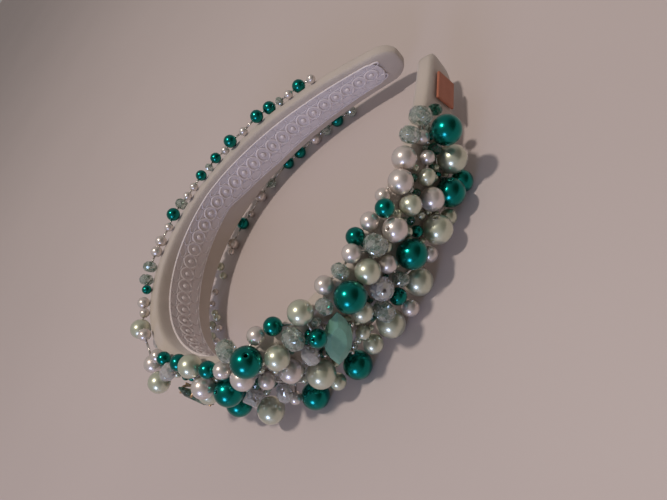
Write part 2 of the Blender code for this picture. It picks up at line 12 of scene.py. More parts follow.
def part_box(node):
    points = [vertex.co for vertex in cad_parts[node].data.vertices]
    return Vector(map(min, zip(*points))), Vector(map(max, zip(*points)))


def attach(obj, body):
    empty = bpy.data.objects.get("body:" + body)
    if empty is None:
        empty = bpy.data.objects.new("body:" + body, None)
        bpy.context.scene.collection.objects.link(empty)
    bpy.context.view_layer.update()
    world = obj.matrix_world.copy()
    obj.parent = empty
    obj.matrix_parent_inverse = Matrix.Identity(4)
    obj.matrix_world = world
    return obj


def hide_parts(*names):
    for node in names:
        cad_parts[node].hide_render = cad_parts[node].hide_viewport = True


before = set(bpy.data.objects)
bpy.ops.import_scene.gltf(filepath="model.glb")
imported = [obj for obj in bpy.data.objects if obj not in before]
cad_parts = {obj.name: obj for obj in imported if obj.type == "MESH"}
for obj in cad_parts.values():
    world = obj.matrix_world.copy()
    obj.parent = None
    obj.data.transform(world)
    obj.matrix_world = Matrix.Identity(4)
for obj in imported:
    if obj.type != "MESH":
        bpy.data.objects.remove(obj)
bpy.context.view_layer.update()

bl_info = {
    "name": "Pearl Tiara",
    "version": (1, 0, 0),
    "blender": (4, 5, 0),
    "location": "3D View > Sidebar > Tiara",
    "description": "Builds a padded headband covered with pearls, crystals and cut stones",
    "category": "Object",
}

# Lengths below are millimetres unless their name or unit says otherwise
MM = 0.001
GAP = 0.32

# Band, as in the solids
HALF_LENGTH = 188.0
BEND_RADII = (46.0, 58.0, 80.0, 128.0, 330.0)
CROWN_WIDTH = 26.5
TIP_WIDTH = 14.0
THICKNESS = 6.5
EDGE_ROUND = 3.0
CROWN_HEIGHT = 24.2
TIP_DROP = 0.067
CROWN_X = -68.36
SHIFT_Y = 1.2
LYING_REACH = 1.0
LYING_PULL = 1.3

# Camera, placed from the crown's middle at the surface, before the band's shift
CAMERA_PLACE = (75.4, -166.0, 138.3)
CAMERA_YAW = -3.74
CAMERA_PITCH = 41.44
CAMERA_ROLL = 57.23
CAMERA_FOCAL_PIXELS = 512.4
PHOTO_WIDTH_PIXELS = 667
SENSOR = 36.0

Bead = namedtuple("Bead", "kind size along across out")
Stone = namedtuple("Stone", "name length width along across out turn tilt")
BraidEdge = namedtuple("BraidEdge", "along low high")

BRAID_HALF_LENGTH = 180.0
BRAID_BACK = -THICKNESS / 2 - 0.05
BRAID_THICKNESS = 0.5
BRAID_LOOPS_OUT = 0.52
BRAID_LOOPS_END = 5.5
BRAID_END_ROUND = 5.0
BRAID_TUCK_RANGE = (20, 60)
BRAID_STATIONS = 321
BRAID_SPREAD = 1.5
BRAID_INSET = 0.2
BRAID_END_SHARE = 0.14
BRAID_EDGES = [
    BraidEdge(0, -7.5, 8.0),
    BraidEdge(35, -7.0, 8.5),
    BraidEdge(80, -4.0, 9.8),
    BraidEdge(92, -6.5, 9.3),
    BraidEdge(113, -8.6, 8.2),
    BraidEdge(143, -7.4, 6.9),
    BraidEdge(180, -5.4, 5.8),
]

SINGLE_BEADS = [
    Bead("crystal", 7, -139, 14, 5),
    Bead("emerald", 10, -144.5, 8, 12),
    Bead("mint", 10, -142, -4, 9),
    Bead("ivory", 8, -133, 14, 4),
    Bead("emerald", 10, -132, -8, 9),
    Bead("ivory", 8, -126, -1, 8),
    Bead("ivory", 8, -125, 13, 5),
    Bead("mint", 7, -120, 7, 7),
    Bead("mint", 10, -119, -8, 9),
    Bead("ivory", 8, -111, 9, 8),
    Bead("emerald", 10, -108, -2, 9),
    Bead("crystal", 8, -104, 13, 8),
    Bead("mint", 10, -103, -14, 7),
    Bead("mint", 8, -97, 10, 8),
    Bead("aurora", 8, -95, 0, 8),
    Bead("crystal", 8, -90, -6, 9),
    Bead("emerald", 10, -89, 11, 10),
    Bead("mint", 10, -87.5, -15, 7),
    Bead("mint", 7, -86, 0, 7),
    Bead("mint", 8, -77, 16, 4),
    Bead("emerald", 10, -71.5, -16, 8.5),
    Bead("crystal", 8, -70, 13, 7),
    Bead("aurora", 7, -68, 2, 7),
    Bead("mint", 10, -64, -7, 9),
    Bead("mint", 8, -63, 12, 7),
    Bead("ivory", 8, -60, 2, 8),
    Bead("emerald", 10, -56, 17, 7),
    Bead("emerald", 10, -54, -17, 9),
    Bead("crystal", 8, -50, 19, 1),
    Bead("ivory", 8, -50, 11.5, 8),
    Bead("aurora", 7, -48, -10, 7),
    Bead("emerald", 10, -40, 7, 9),
    Bead("mint", 10, -39, -15, 11),
    Bead("aurora", 8, -39, -6, 8),
    Bead("mint", 8, -32, 17, 2),
    Bead("emerald", 10, -28, -11, 8.6),
    Bead("mint", 8, -28.5, 4, 9),
    Bead("mint", 8, -14, 13, 11),
]

STONES = [
    Stone("frosted", length=18.5, width=9, along=-77, across=1, out=7, turn=-44, tilt=22),
    Stone("clear", length=17, width=7, along=-22, across=2.5, out=8.2, turn=90, tilt=8),
]

STRINGS = {
    "near_tip_string": [
        Bead("deep", 5, -155, 7, 5),
        Bead("crystal", 8, -147.5, 14, 6),
        Bead("ivory", 5, -144, 12.5, 6.5),
        Bead("deep", 5, -143, 4, 6),
        Bead("emerald", 8, -138, -12, 9),
        Bead("ivory", 5, -137, 6, 6),
        Bead("mint", 6, -131, 4, 7),
        Bead("mint", 6, -126, -13, 8),
        Bead("ivory", 5, -119, 15, 2),
        Bead("emerald", 6, -114, 16, 6),
    ],
    "near_arm_string": [
        Bead("ivory", 6, -112, -13, 7),
        Bead("ivory", 6, -110, 14, 2),
        Bead("emerald", 6, -104, 15, 1),
        Bead("ivory", 6, -102, 3, 7),
        Bead("crystal", 6, -100, -6, 7),
        Bead("ivory", 6, -99, 16, 4),
        Bead("emerald", 6, -96, -10, 6),
        Bead("ivory", 6, -95, -15, 9),
        Bead("crystal", 6, -93, 14, 3),
        Bead("ivory", 6, -87, 15, 2),
        Bead("crystal", 6, -82, 13, 5),
        Bead("mint", 5, -81, -8, 6),
        Bead("mint", 7, -80, -15, 8),
    ],
    "near_bend_string": [
        Bead("emerald", 6, -75, 9.5, 9.5),
        Bead("emerald", 6, -67, 17.5, 0.5),
        Bead("mint", 6, -64, -16, 10),
        Bead("ivory", 6, -61, 18, 0.5),
        Bead("ivory", 6, -51, 2, 7),
        Bead("ivory", 5, -48, -16, 8),
        Bead("ivory", 6, -45, 15, 4),
        Bead("emerald", 6, -39, 15, 3),
    ],
    "crown_string": [
        Bead("ivory", 8, -34, 10.5, 7),
        Bead("emerald", 6, -24, 16, 1),
        Bead("aurora", 7, -18, 15, 5),
        Bead("emerald", 5, -15, 15, 2.5),
        Bead("ivory", 5, -8, 14.5, 3.5),
        Bead("ivory", 7, -5.5, 13, 8),
        Bead("ivory", 5, 6, 16.5, 4),
        Bead("mint", 8, 12.5, 14.5, 7.5),
        Bead("ivory", 4, 18, 15, 4),
        Bead("ivory", 5, 23, 15, 4),
    ],
    "far_upper_string": [
        Bead("emerald", 4, 29, 15, 3),
        Bead("crystal", 6, 34, 15, 4),
        Bead("crystal", 6, 40, 15, 4),
        Bead("ivory", 5, 47, 15, 3),
        Bead("ivory", 5, 52, 15, 3),
        Bead("ivory", 4, 59, 15, 3),
        Bead("emerald", 6, 65, 15, 3),
        Bead("crystal", 6, 71, 13, 5),
        Bead("ivory", 4, 75, 15, 2),
        Bead("ivory", 4, 80, 14, 3),
        Bead("emerald", 5, 86, 14, 3),
    ],
    "far_tip_string": [
        Bead("crystal", 4, 91, 14, 3),
        Bead("emerald", 5, 96, 14, 3),
        Bead("ivory", 4, 101, 12, 4),
        Bead("emerald", 6, 106, 14, 2),
        Bead("ivory", 4, 113, 13, 3),
        Bead("emerald", 6, 122, 13, 3),
        Bead("emerald", 6, 128, 11, 5),
        Bead("crystal", 4, 134, 12, 3),
        Bead("ivory", 4, 139, 12, 3),
        Bead("emerald", 6, 144, 10, 5),
        Bead("ivory", 4, 151, 11, 3),
    ],
    "far_lower_string": [
        Bead("ivory", 6, 66, -20, 2),
        Bead("emerald", 6, 77, -19, 2),
        Bead("ivory", 4, 83, -20, 2),
        Bead("ivory", 6, 93, -18, 2),
        Bead("crystal", 6, 101, -18, 2),
        Bead("emerald", 6, 114, -17, 2),
        Bead("emerald", 6, 122, -17, 1),
        Bead("ivory", 6, 132, -15, 1),
        Bead("crystal", 6, 139, -15, 1),
        Bead("emerald", 6, 146, -15, 1),
        Bead("crystal", 6, 154, -14, 1),
    ],
}

FACE_RUNS = {"far_bend_face_string": (-6.0, 64.0), "far_arm_face_string": (74.0, 142.0)}
FACE_RUN_BEADS = (("mint", 6), ("emerald", 6), ("ivory", 8), ("ivory", 5), ("emerald", 8))
FACE_ROWS = (3.0, -6.0)
FACE_STEP = 17.0

# How the beads settle: rounds, those in which they are drawn home and inwards, and shares moved in each
SETTLE_ROUNDS = 400
SETTLE_DRAWN = 240
SETTLE_PULL = 0.04
SETTLE_PUSH = 0.9

# Where a drill hole shows on its bead, in shares of the bead's radius to the right and down the picture
HOLES = {
    ("emerald_bead_02", -132): (0.10, -0.86),
    ("mint_bead_03", -119): (-0.14, -0.77),
    ("ivory_bead_04", -111): (-0.61, -0.03),
    ("aurora_bead_01", -95): (0.25, 0.16),
    ("emerald_bead_06", -56): (-0.05, -0.43),
    ("emerald_bead_08", -40): (-0.77, 0.02),
    ("aurora_bead_04", -39): (-0.93, 0.34),
    ("near_arm_string", -96): (0.43, -0.48),
    ("near_bend_string", -75): (-0.45, 0.15),
}
BICONES = ("aurora_bead_04",)

SLOTS = {
    "emerald": "emerald_pearl",
    "mint": "mint_pearl",
    "ivory": "ivory_pearl",
    "crystal": "cut_crystal",
    "deep": "cut_crystal",
    "aurora": "aurora_crystal",
}
ROUND_KINDS = ("emerald", "mint", "ivory")

# Small beads scattered over a stretch of the outer face, or on the surface under it if low is given
SeedZone = namedtuple("SeedZone", "start end small large margin low tries kinds")
SEED_ZONES = (
    SeedZone(-148, -4, 1.1, 2.2, 1.5, 0, 6000, ("emerald", "deep", "crystal", "mint", "mint")),
    SeedZone(-8, 152, 1.9, 2.6, 5.5, 0, 2600, ("ivory", "mint", "emerald", "crystal")),
    SeedZone(0, 68, 1.6, 2.3, 5.5, 2.5, 60, ("mint", "ivory")),
)

SEED_LIFT = 0.1
SEED_FLOOR_OUT = (-0.5, 5.0)

# Segments and arcs of a round bead, and sides of a cut one
BeadDetail = namedtuple("BeadDetail", "segments arcs sides")
SINGLE_DETAIL = BeadDetail(40, 24, 12)
STRUNG_DETAIL = BeadDetail(26, 14, 10)
SEED_DETAIL = BeadDetail(14, 8, 8)

# Looks of the beads. The pearls' tones are shares of the colours in their settings
PearlLook = namedtuple("PearlLook", "kind dark light metallic roughness coat")
PEARL_LOOKS = (
    PearlLook("emerald", 0.85, 1.15, metallic=1.0, roughness=0.24, coat=0.12),
    PearlLook("mint", 0.93, 1.06, metallic=0.7, roughness=0.31, coat=1.0),
    PearlLook("ivory", 0.94, 1.05, metallic=0.65, roughness=0.31, coat=1.0),
)
# Glass beads: their dark and light tones are painted on the facets as sparkle, bright and dark facets and
# bright edge lines standing in for glints and reflections
GlassLook = namedtuple("GlassLook", "kind name dark light roughness transmission values")
CRYSTAL = {"Metallic": 0.25}
AURORA = {"Coat Weight": 0.6, "Metallic": 0.15, "Thin Film Thickness": 420.0, "Thin Film IOR": 1.7}
GLASS_LOOKS = (
    GlassLook("crystal", "Smoky green crystal", (0.34, 0.45, 0.37), (0.95, 1.0, 0.95), 0.02, 0.74, CRYSTAL),
    GlassLook("deep", "Deep green crystal", (0.01, 0.08, 0.05), (0.06, 0.38, 0.27), 0.02, 0.75, {}),
    GlassLook(
        "aurora", "Pink and turquoise crystal", (0.78, 0.73, 0.73), (1.0, 0.96, 0.96), 0.02, 0.55, AURORA
    ),
)

# Middle of the dim part of the surroundings, and the stage in metres
DARK_SIDE = (0.723, -0.675, 0.181)
FLOOR_REACH = 3.0
LAMP_DISTANCE = 1.1

# Fine form: how the band's section is rounded across and through, and over which length at the tips
SECTION_POWERS = (0.30, 0.34)
BAND_SPREAD = math.pi / 2 * 0.985
TIP_ROUND = 8.0
TIP_WIDTH_SHARE = 0.30
TIP_THICKNESS_SHARE = 0.45
STRAND_PINCH = 0.72
FACET_LEAN = 0.8
MERGE = 1e-6

# Beads of radius 1: the share that the drill hole takes, and rings of radius and height of the cut ones
HOLE_SHARE = 0.15
CUT_RINGS = (
    (0.16, 0.80),
    (0.62, 0.70),
    (0.93, 0.34),
    (1.0, 0.0),
    (0.93, -0.34),
    (0.62, -0.70),
    (0.16, -0.80),
)
BICONE_RINGS = ((0.10, 0.97), (0.52, 0.52), (0.96, 0.08), (0.96, -0.08), (0.52, -0.52), (0.10, -0.97))

# Cut stones: height, share of the outline and half a side's turn of each ring
STONE_SIDES = 16
STONE_LEVELS = (
    (0.3, 0.30, 0),
    (0.9, 0.72, 1),
    (1.6, 1.0, 0),
    (2.1, 1.0, 0),
    (2.9, 0.80, 1),
    (3.6, 0.55, 0),
)
NAVETTE_POWER = 2.4
PLATE = 0.8
SETTING_SHARE = 0.8
CLAW_POINTS = (2, 4, 8, 10)
CLAW_RADIUS = 0.45
CLAW_FOOT_SHARE = 0.72
CLAW_CLEARANCE = 0.15
CLAW_HEIGHTS = (0.2, 2.2, 3.2)
CLAW_HOOK_SHARE = 0.6
POST_RADIUS = 1.1


# Shape of the band


def band_line(stations=377):
    """Arc lengths from the crown, and the far half's points and headings on the middle of the band."""
    along = np.linspace(0.0, HALF_LENGTH, stations)
    bends = np.interp(along, np.linspace(0.0, HALF_LENGTH, len(BEND_RADII)), 1 / np.array(BEND_RADII))
    step = along[1]
    heading = math.pi / 2 - np.concatenate([[0], np.cumsum((bends[1:] + bends[:-1]) / 2 * step)])
    run = np.stack([np.cos(heading), np.sin(heading)], 1)
    points = np.concatenate([[[0, 0]], np.cumsum((run[1:] + run[:-1]) / 2 * step, axis=0)])
    return along, points, heading


ALONG, HALF_LINE, HEADING = band_line()
OUTWARD = np.stack([-np.sin(HEADING), np.cos(HEADING)], 1)
NEAR = np.array([1.0, -1.0])
LINE_ALONG = np.concatenate([-ALONG[::-1], ALONG[1:]])
LINE = np.concatenate([HALF_LINE[::-1] * NEAR, HALF_LINE[1:]])
LINE_OUT = np.concatenate([OUTWARD[::-1] * NEAR, OUTWARD[1:]])


def band_width(along):
    return CROWN_WIDTH + (TIP_WIDTH - CROWN_WIDTH) * (np.abs(along) / HALF_LENGTH) ** 2


def place(along, across, out):
    """Point of a place on the band, in millimetres from the crown's middle."""
    middle = np.array([np.interp(along, LINE_ALONG, LINE[:, i]) for i in (0, 1)])
    normal = np.array([np.interp(along, LINE_ALONG, LINE_OUT[:, i]) for i in (0, 1)])
    x, y = middle + normal / np.linalg.norm(normal) * out
    return np.array([x, y, CROWN_HEIGHT - TIP_DROP * x + across])


def in_frame(point):
    """A point in millimetres from the crown's middle, as a Vector in the frame's metres."""
    x, y, z = point
    return Vector((x + CROWN_X, y + SHIFT_Y, z)) * MM


def at(along, across, out):
    return in_frame(place(along, across, out))


def directions(along):
    """Unit vectors out of the band, along it towards the far tip, and up."""
    normal = np.array([np.interp(along, LINE_ALONG, LINE_OUT[:, i]) for i in (0, 1)])
    normal /= np.linalg.norm(normal)
    outward = Vector((normal[0], normal[1], 0))
    return outward, Vector((normal[1], -normal[0], 0)), Vector((0, 0, 1))


def view_directions():
    """Unit vectors to the picture's right, down it, and away from the camera."""
    yaw, pitch, roll = (math.radians(a) for a in (CAMERA_YAW, CAMERA_PITCH, CAMERA_ROLL))
    forward = Vector((math.sin(yaw) * math.cos(pitch), math.cos(yaw) * math.cos(pitch), -math.sin(pitch)))
    level = Vector((math.cos(yaw), -math.sin(yaw), 0))
    upward = level.cross(forward)
    right = level * math.cos(roll) - upward * math.sin(roll)
    down = -level * math.sin(roll) - upward * math.cos(roll)
    return right, down, forward


def hole_direction(node, along, centre):
    """Direction of a bead's drill hole: to the place where it shows, or else across the line of sight."""
    right, down, _ = view_directions()
    toward = (Vector(CAMERA_PLACE) - Vector(centre)).normalized()
    if (node, along) in HOLES:
        x, y = HOLES[node, along]
        return (right * x + down * y + toward * math.sqrt(max(1 - x * x - y * y, 0))).normalized()
    tangent = directions(along)[1]
    return (tangent - toward * tangent.dot(toward)).normalized()


def band_distance(points):
    """Distance of each point from the band's surface, and the direction away from it."""
    nearest = np.argmin(((points[:, None, :2] - LINE[None]) ** 2).sum(2), axis=1)
    normal = LINE_OUT[nearest]
    out = ((points[:, :2] - LINE[nearest]) * normal).sum(1)
    across = points[:, 2] - (CROWN_HEIGHT - TIP_DROP * points[:, 0])
    flat_out = np.abs(out) - (THICKNESS / 2 - EDGE_ROUND)
    flat_across = np.abs(across) - (band_width(LINE_ALONG[nearest]) / 2 - EDGE_ROUND)
    corner = np.stack([np.maximum(flat_out, 0), np.maximum(flat_across, 0)], 1)
    inside = np.minimum(np.maximum(flat_out, flat_across), 0)
    distance = np.hypot(*corner.T) + inside - EDGE_ROUND
    length = np.maximum(np.hypot(*corner.T), 1e-6)[:, None]
    away = np.where(corner.any(1)[:, None], corner / length, np.array([1.0, 0.0]))
    away *= np.stack([np.sign(out), np.sign(across)], 1)
    return distance, np.concatenate([normal * away[:, :1], away[:, 1:]], axis=1)


# Places of the beads


def navette(length, width, share, points=12):
    """Outline of a pointed oval, shrunk to a share of its size."""
    outline = []
    for i in range(points):
        turn = 2 * math.pi * i / points
        u = math.cos(turn)
        side = math.sin(turn)
        v = math.copysign(1 - abs(u) ** NAVETTE_POWER, side) if abs(side) > 1e-6 else 0.0
        outline.append((u * length / 2 * share, v * width / 2 * share))
    return outline


def stone_frame(stone):
    """Matrix whose X is a stone's long way and whose Z is the way it faces, in millimetres."""
    outward, tangent, up = directions(stone.along)
    tilt = math.radians(stone.tilt)
    turn = math.radians(stone.turn)
    facing = outward * math.cos(tilt) + up * math.sin(tilt)
    rise = up * math.cos(tilt) - outward * math.sin(tilt)
    long_way = tangent * math.cos(turn) + rise * math.sin(turn)
    matrix = Matrix((long_way, facing.cross(long_way), facing)).transposed().to_4x4()
    return Matrix.Translation(place(stone.along, stone.across, stone.out)) @ matrix


def setting_wires(stone):
    """Post and four claws of a stone's setting, each a list of points and a radius."""
    matrix = stone_frame(stone)
    outward, _, _ = directions(stone.along)
    head = matrix @ Vector((0, 0, -PLATE / 2))
    below = PLATE / 2 * math.cos(math.radians(stone.tilt))
    foot = head - outward * (stone.out - THICKNESS / 2 - GAP - below)
    wires = [([foot, head], POST_RADIUS)]
    girdle = navette(stone.length, stone.width, 1.0)
    for i in CLAW_POINTS:
        x, y = girdle[i]
        rim = Vector((x, y, 0))
        outside = Vector((x / stone.length, 2 * y / stone.width, 0)).normalized()
        outside *= CLAW_RADIUS + GAP + CLAW_CLEARANCE
        low, high, top = (Vector((0, 0, height)) for height in CLAW_HEIGHTS)
        claw = [
            Vector((x * CLAW_FOOT_SHARE, y * CLAW_FOOT_SHARE, -PLATE / 2)),
            rim + outside + low,
            rim + outside + high,
            rim + outside * CLAW_HOOK_SHARE + top,
        ]
        wires.append(([matrix @ point for point in claw], CLAW_RADIUS))
    return wires


def samples(wire):
    """Points every half millimetre on a wire."""
    points = []
    for a, b in zip(wire, wire[1:]):
        count = max(int(np.linalg.norm(b - a) / 0.5), 1)
        points += [a + (b - a) * i / count for i in range(count + 1)]
    return np.array(points)


def stone_room(stone):
    """Balls that cover a cut stone and its setting."""
    matrix = stone_frame(stone)
    reach = stone.length / 2 - stone.width * 0.42
    shares = ((-1, 0.42), (-0.5, 0.45), (0, 0.56), (0.5, 0.45), (1, 0.42))
    balls = [(np.array(matrix @ Vector((reach * a, 0, 1.2))), stone.width * share) for a, share in shares]
    for points, radius in setting_wires(stone):
        balls += [(point, radius) for point in samples(np.array([np.array(p) for p in points]))]
    return balls


def face_beads(run):
    """Beads of one run on the far arm's outer face, two rows half a step apart."""
    start, end = run
    beads = []
    count = int((end - start) / FACE_STEP)
    for row, across in enumerate(FACE_ROWS):
        for i in range(count + 1):
            kind, size = FACE_RUN_BEADS[(2 * i + 3 * row) % len(FACE_RUN_BEADS)]
            along = start + FACE_STEP * (i + 0.5 * row)
            beads.append(Bead(kind, size, along, across, THICKNESS / 2 + GAP + size / 2))
    return beads


def settle(beads, fixed):
    """Centres of the beads once each is clear of the others, the band, the stones and the surface."""
    home = np.array([place(b.along, b.across, b.out) for b in beads])
    radius = np.array([b.size / 2 for b in beads])
    lying = home[:, 2] < radius + LYING_REACH
    home[lying, 2] = radius[lying] - LYING_PULL
    centre = home.copy()
    first, second = np.triu_indices(len(beads), 1)
    for turn in range(SETTLE_ROUNDS):
        if turn < SETTLE_DRAWN:
            distance, away = band_distance(centre)
            inward = np.clip(distance - radius - GAP, 0, SETTLE_PULL)
            centre += SETTLE_PULL * (home - centre) - inward[:, None] * away
        apart = centre[second] - centre[first]
        length = np.linalg.norm(apart, axis=1)
        short = np.maximum(radius[first] + radius[second] + GAP - length, 0)
        push = (short / length)[:, None] * apart
        weight = (radius[second] ** 3 / (radius[first] ** 3 + radius[second] ** 3))[:, None]
        np.add.at(centre, first, -push * weight * SETTLE_PUSH)
        np.add.at(centre, second, push * (1 - weight) * SETTLE_PUSH)
        for middle, ball in fixed:
            apart = centre - middle
            length = np.linalg.norm(apart, axis=1)
            short = np.maximum(radius + ball + GAP - length, 0)
            centre += (short / length)[:, None] * apart
        distance, away = band_distance(centre)
        centre += np.maximum(radius + GAP - distance, 0)[:, None] * away
        centre[:, 2] = np.maximum(centre[:, 2], radius)
    return centre


def bead_places():
    """Every bead with its centre in millimetres and the node it belongs to."""
    strings = dict(STRINGS)
    for name, run in FACE_RUNS.items():
        strings[name] = face_beads(run)
    beads = list(SINGLE_BEADS)
    nodes = []
    numbers = {}
    for bead in SINGLE_BEADS:
        numbers[bead.kind] = numbers.get(bead.kind, 0) + 1
        nodes.append(f"{bead.kind}_bead_{numbers[bead.kind]:02d}")
    for name, string in strings.items():
        beads += string
        nodes += [name] * len(string)
    centres = settle(beads, [ball for stone in STONES for ball in stone_room(stone)])
    return list(zip(nodes, beads, centres))


# Node trees


def wire_up(tree, kind, inputs=None, **settings):
    """Node of this kind with its settings. Its inputs, by name or number, are values or other outputs."""
    node = tree.nodes.new(kind)
    for name, value in settings.items():
        setattr(node, name, value)
    for name, value in (inputs or {}).items():
        socket = node.inputs[name]
        if isinstance(value, bpy.types.NodeSocket):
            tree.links.new(value, socket)
        else:
            socket.default_value = value
    return node


def out_of(node):
    """The output that the node's settings leave on."""
    return next(socket for socket in node.outputs if socket.enabled)


def maths(tree, operation, *inputs):
    """Output of a math node."""
    return wire_up(tree, "ShaderNodeMath", dict(enumerate(inputs)), operation=operation).outputs[0]


def vector_maths(tree, operation, inputs, output="Vector"):
    """Output of a vector math node."""
    return wire_up(tree, "ShaderNodeVectorMath", inputs, operation=operation).outputs[output]


def geometry_tree(name, sizes):
    """Empty geometry tree with the named inputs, and its group input and output nodes."""
    tree = bpy.data.node_groups.new(name, "GeometryNodeTree")
    tree.interface.new_socket("Geometry", in_out="INPUT", socket_type="NodeSocketGeometry")
    for label, (kind, value) in sizes.items():
        socket = tree.interface.new_socket(label, in_out="INPUT", socket_type=kind)
        if value is not None:
            socket.default_value = value
    tree.interface.new_socket("Geometry", in_out="OUTPUT", socket_type="NodeSocketGeometry")
    return tree, tree.nodes.new("NodeGroupInput"), tree.nodes.new("NodeGroupOutput")


def run_tree(tree, host, values):
    """Mesh that the tree makes of the host object, which is removed with its own mesh."""
    modifier = host.modifiers.new("Shape", "NODES")
    modifier.node_group = tree
    for item in tree.interface.items_tree:
        if item.in_out == "INPUT" and item.name in values:
            modifier[item.identifier] = values[item.name]
    bpy.context.view_layer.update()
    graph = bpy.context.evaluated_depsgraph_get()
    shaped = host.evaluated_get(graph)
    mesh = bpy.data.meshes.new_from_object(shaped, preserve_all_data_layers=True, depsgraph=graph)
    old = host.data
    bpy.data.objects.remove(host)
    bpy.data.meshes.remove(old)
    return mesh


def point_host(points, **vectors):
    """Object of loose points in metres, with named vector or number attributes."""
    mesh = bpy.data.meshes.new("points")
    mesh.from_pydata([tuple(p) for p in points], [], [])
    for name, values in vectors.items():
        if np.ndim(values[0]):
            layer = mesh.attributes.new(name, "FLOAT_VECTOR", "POINT")
            layer.data.foreach_set("vector", np.array([tuple(v) for v in values], float).ravel())
        else:
            layer = mesh.attributes.new(name, "FLOAT", "POINT")
            layer.data.foreach_set("value", np.array(values, float))
    return linked_object("points", mesh)


def line_host(points, **vectors):
    """The same, with an edge from each point to the next."""
    host = point_host(points, **vectors)
    mesh = host.data
    mesh.edges.add(len(points) - 1)
    mesh.edges.foreach_set("vertices", np.array([(i, i + 1) for i in range(len(points) - 1)]).ravel())
    mesh.update()
    return host


def attribute(tree, name, kind):
    """Output that reads a named attribute of the points."""
    return out_of(wire_up(tree, "GeometryNodeInputNamedAttribute", {"Name": name}, data_type=kind))


def even_line(tree, entry, step):
    """The host's line as a curve in even steps, as long as the named input says."""
    line = wire_up(tree, "GeometryNodeMeshToCurve", {"Mesh": entry.outputs["Geometry"]})
    inputs = {"Curve": line.outputs["Curve"], "Length": entry.outputs[step]}
    return wire_up(tree, "GeometryNodeResampleCurve", inputs, mode="LENGTH").outputs["Curve"]


def copies_of(tree, entry, points, turn, scale):
    """Copies of the tree's template on points."""
    template = wire_up(tree, "GeometryNodeObjectInfo", {"Object": entry.outputs["Template"]})
    inputs = {"Points": points, "Instance": template.outputs["Geometry"], "Rotation": turn, "Scale": scale}
    return wire_up(tree, "GeometryNodeInstanceOnPoints", inputs).outputs["Instances"]


def finish_tree(tree, entry, end, geometry):
    """End of a tree: real geometry in the tree's material."""
    real = wire_up(tree, "GeometryNodeRealizeInstances", {"Geometry": geometry})
    inputs = {"Geometry": real.outputs["Geometry"], "Material": entry.outputs["Finish"]}
    finished = wire_up(tree, "GeometryNodeSetMaterial", inputs)
    tree.links.new(finished.outputs["Geometry"], end.inputs["Geometry"])
    return tree


def copies_tree():
    """Copies of a template, each turned to its point's axis and as large as its size."""
    if "Beads on points" in bpy.data.node_groups:
        return bpy.data.node_groups["Beads on points"]
    sizes = {
        "Template": ("NodeSocketObject", None),
        "Finish": ("NodeSocketMaterial", None),
        "Size Share": ("NodeSocketFloat", 1.0),
        "Seed": ("NodeSocketInt", 7),
    }
    tree, entry, end = geometry_tree("Beads on points", sizes)
    scale = maths(tree, "MULTIPLY", attribute(tree, "size", "FLOAT"), entry.outputs["Size Share"])
    axis = attribute(tree, "axis", "FLOAT_VECTOR")
    turn = wire_up(tree, "FunctionNodeAlignRotationToVector", {"Vector": axis}, axis="Z")
    inputs = {3: 2 * math.pi, "Seed": entry.outputs["Seed"]}
    spin = wire_up(tree, "FunctionNodeRandomValue", inputs, data_type="FLOAT")
    about = wire_up(tree, "FunctionNodeAxisAngleToRotation", {"Axis": (0, 0, 1), "Angle": out_of(spin)})
    inputs = {"Rotation": out_of(turn), "Rotate By": out_of(about)}
    turned = wire_up(tree, "FunctionNodeRotateRotation", inputs, rotation_space="LOCAL")
    copies = copies_of(tree, entry, entry.outputs["Geometry"], out_of(turned), scale)
    return finish_tree(tree, entry, end, copies)


def cord_tree():
    """Round cord along a line, twisted from a bumpy section."""
    sizes = {
        "Finish": ("NodeSocketMaterial", None),
        "Radius": ("NodeSocketFloat", 0.0005),
        "Step": ("NodeSocketFloat", 0.0012),
        "Sides": ("NodeSocketInt", 10),
        "Lay": ("NodeSocketFloat", 0.9),
    }
    tree, entry, end = geometry_tree("Cord on a line", sizes)
    number = wire_up(tree, "GeometryNodeInputIndex").outputs[0]
    twist = maths(tree, "MULTIPLY", number, entry.outputs["Lay"])
    inputs = {"Curve": even_line(tree, entry, "Step"), "Tilt": twist}
    tilted = wire_up(tree, "GeometryNodeSetCurveTilt", inputs)
    inputs = {"Resolution": entry.outputs["Sides"], "Radius": entry.outputs["Radius"]}
    ring = wire_up(tree, "GeometryNodeCurvePrimitiveCircle", inputs)
    odd = maths(tree, "PINGPONG", number, 1.0)
    pinch = wire_up(tree, "ShaderNodeMapRange", {"Value": odd, "To Min": 1.0, "To Max": STRAND_PINCH})
    spot = wire_up(tree, "GeometryNodeInputPosition").outputs[0]
    drawn = vector_maths(tree, "SCALE", {0: spot, "Scale": pinch.outputs[0]})
    inputs = {"Geometry": ring.outputs["Curve"], "Position": drawn}
    section = wire_up(tree, "GeometryNodeSetPosition", inputs)
    inputs = {
        "Curve": tilted.outputs["Curve"],
        "Profile Curve": section.outputs["Geometry"],
        "Fill Caps": True,
    }
    tube = wire_up(tree, "GeometryNodeCurveToMesh", inputs)
    return finish_tree(tree, entry, end, tube.outputs["Mesh"])


